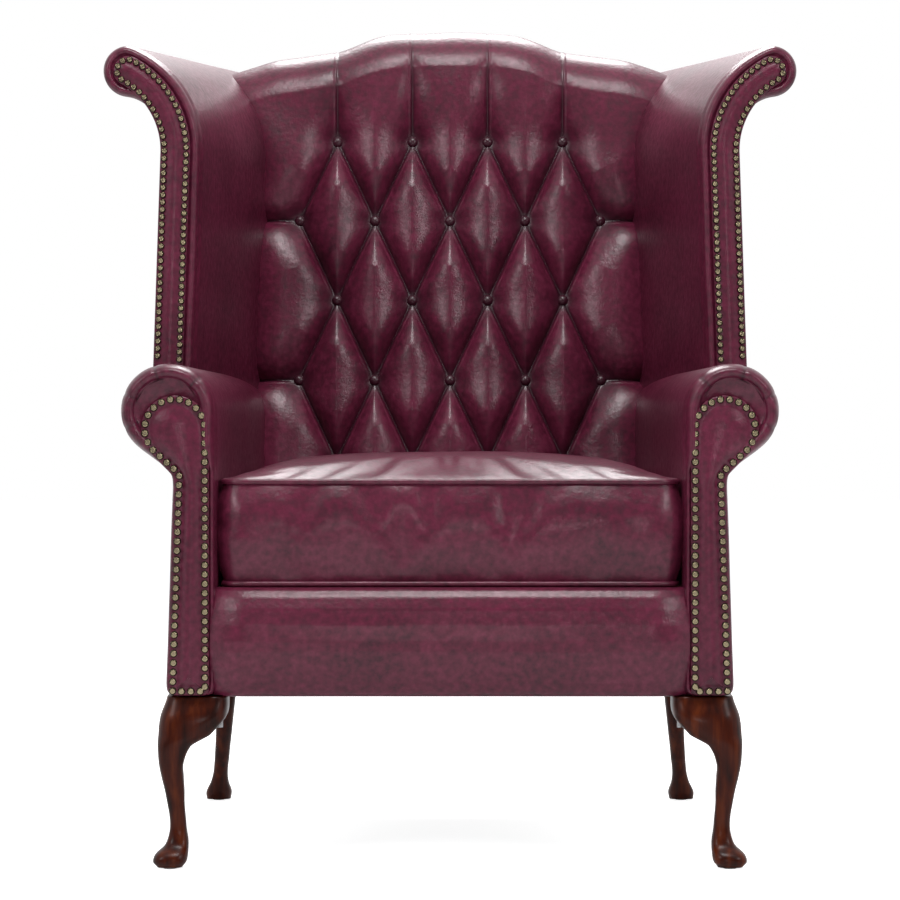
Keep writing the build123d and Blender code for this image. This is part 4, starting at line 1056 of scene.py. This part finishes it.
# The outside back: one flat panel of hide over a thin pad, drawn tight from arm to arm and turned in under
# the camel top and the rolls of the wings.
PANEL_HALF = 0.33
PANEL_FOOT = 0.207
PANEL_THICK = 0.003
PANEL_SET_IN = 0.0005
PANEL_PAD = 0.004
PANEL_SHOULDER = CAMEL_PLACES[-2]
UNDER_CAMEL, UNDER_SHOULDER = 0.012, 0.008
ROLL_X, ROLL_Z = 0.296, 0.996
bpy.ops.mesh.primitive_grid_add(x_subdivisions=90, y_subdivisions=90, size=1)
panel = bpy.context.object
for vert in panel.data.vertices:
    across, up = vert.co.x * 2, vert.co.y + 0.5
    x = across * PANEL_HALF
    if abs(x) < PANEL_SHOULDER:
        top = float(camel_height(x)) - UNDER_CAMEL
    else:
        roll_top = ROLL_Z + math.sqrt(max(0.0, WING_REAR["roll"] ** 2 - max(0.0, abs(x) - ROLL_X) ** 2))
        top = min(roll_top, float(camel_height(PANEL_SHOULDER)) - UNDER_SHOULDER)
    z = PANEL_FOOT + (top - PANEL_FOOT) * up
    pad = PANEL_PAD * (1 - across**4) * math.sin(math.pi * min(1, up)) ** 0.5
    vert.co = (x, rear_limit(z) - PANEL_SET_IN + pad, z)
thicken = panel.modifiers.new("thickness", "SOLIDIFY")
thicken.thickness = PANEL_THICK
thicken.offset = 0
bpy.ops.object.modifier_apply(modifier="thickness")
bpy.ops.object.shade_smooth()
dress(panel, "outside_back_leather", OXBLOOD)
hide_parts("outside_back")

# The rest keeps its CAD shape and gets a material for its slot: brass nails, with a painted highlight where
# their crowns face the camera and painted shade round their rims, and the frame, the springs, the bolts and
# the linings that hardly show.
FINISHES = dict(
    steel=((0.25, 0.25, 0.26), (0.5, 0.5, 0.5), 300, 1.0, 0.35),
    beech=((0.45, 0.28, 0.15), (0.62, 0.43, 0.26), 60, 0.0, 0.6),
    hessian=((0.28, 0.2, 0.11), (0.5, 0.4, 0.25), 900, 0.0, 0.9),
    twine=((0.4, 0.33, 0.22), (0.6, 0.52, 0.38), 700, 0.0, 0.8),
    black_cloth=((0.006, 0.006, 0.006), (0.03, 0.03, 0.03), 1200, 0.0, 0.9),
)
BRASS_RIM_SHADE = (0.01, 0.007, 0.004)
BRASS_SIDE = (0.06, 0.045, 0.024)
BRASS_CROWN_HIGHLIGHT = (0.4, 0.33, 0.21)
brass = bpy.data.materials.new("antique_brass")
brass.use_nodes = True
tree = brass.node_tree
shader = tree.nodes["Principled BSDF"]
# Painted highlight and shade: the nails are coloured by how squarely they face the camera, bright at the crown
# and dark round the rim.
facing_camera = tree.nodes.new("ShaderNodeVectorMath")
facing_camera.operation = "DOT_PRODUCT"
facing_camera.inputs[1].default_value = (0, -1, 0)
tree.links.new(tree.nodes.new("ShaderNodeNewGeometry").outputs["Normal"], facing_camera.inputs[0])
painted_highlight_ramp = ramp_node(tree, ((0.7, BRASS_RIM_SHADE), (0.92, BRASS_SIDE), (1.0, BRASS_CROWN_HIGHLIGHT)), facing_camera.outputs["Value"])
tree.links.new(painted_highlight_ramp.outputs[0], shader.inputs["Base Color"])
shader.inputs["Metallic"].default_value = 0.9
shader.inputs["Roughness"].default_value = 0.24
finish = {"oxblood_leather": OXBLOOD, "mahogany": mahogany, "antique_brass": brass}
for slot_name, (dark, light, scale, metal, rough) in FINISHES.items():
    material = bpy.data.materials.new(slot_name)
    material.use_nodes = True
    tree = material.node_tree
    shader = tree.nodes["Principled BSDF"]
    cloud = noise_node(tree, scale, 4, tree.nodes.new("ShaderNodeTexCoord").outputs["Object"])
    colour = ramp_node(tree, ((0.3, dark), (0.7, light)), cloud.outputs["Fac"])
    tree.links.new(colour.outputs[0], shader.inputs["Base Color"])
    bump = tree.nodes.new("ShaderNodeBump")
    bump.inputs["Strength"].default_value = 0.2 * rough
    bump.inputs["Distance"].default_value = 0.0003
    tree.links.new(cloud.outputs["Fac"], bump.inputs["Height"])
    tree.links.new(bump.outputs[0], shader.inputs["Normal"])
    shader.inputs["Metallic"].default_value = metal
    shader.inputs["Roughness"].default_value = rough
    finish[slot_name] = material
slots = {entry["node"]: entry["material_slot"] for entry in frame["record"]["subparts"]}
for node, piece in frame["nodes"].items():
    piece.data.materials.clear()
    piece.data.materials.append(finish[slots[node]])
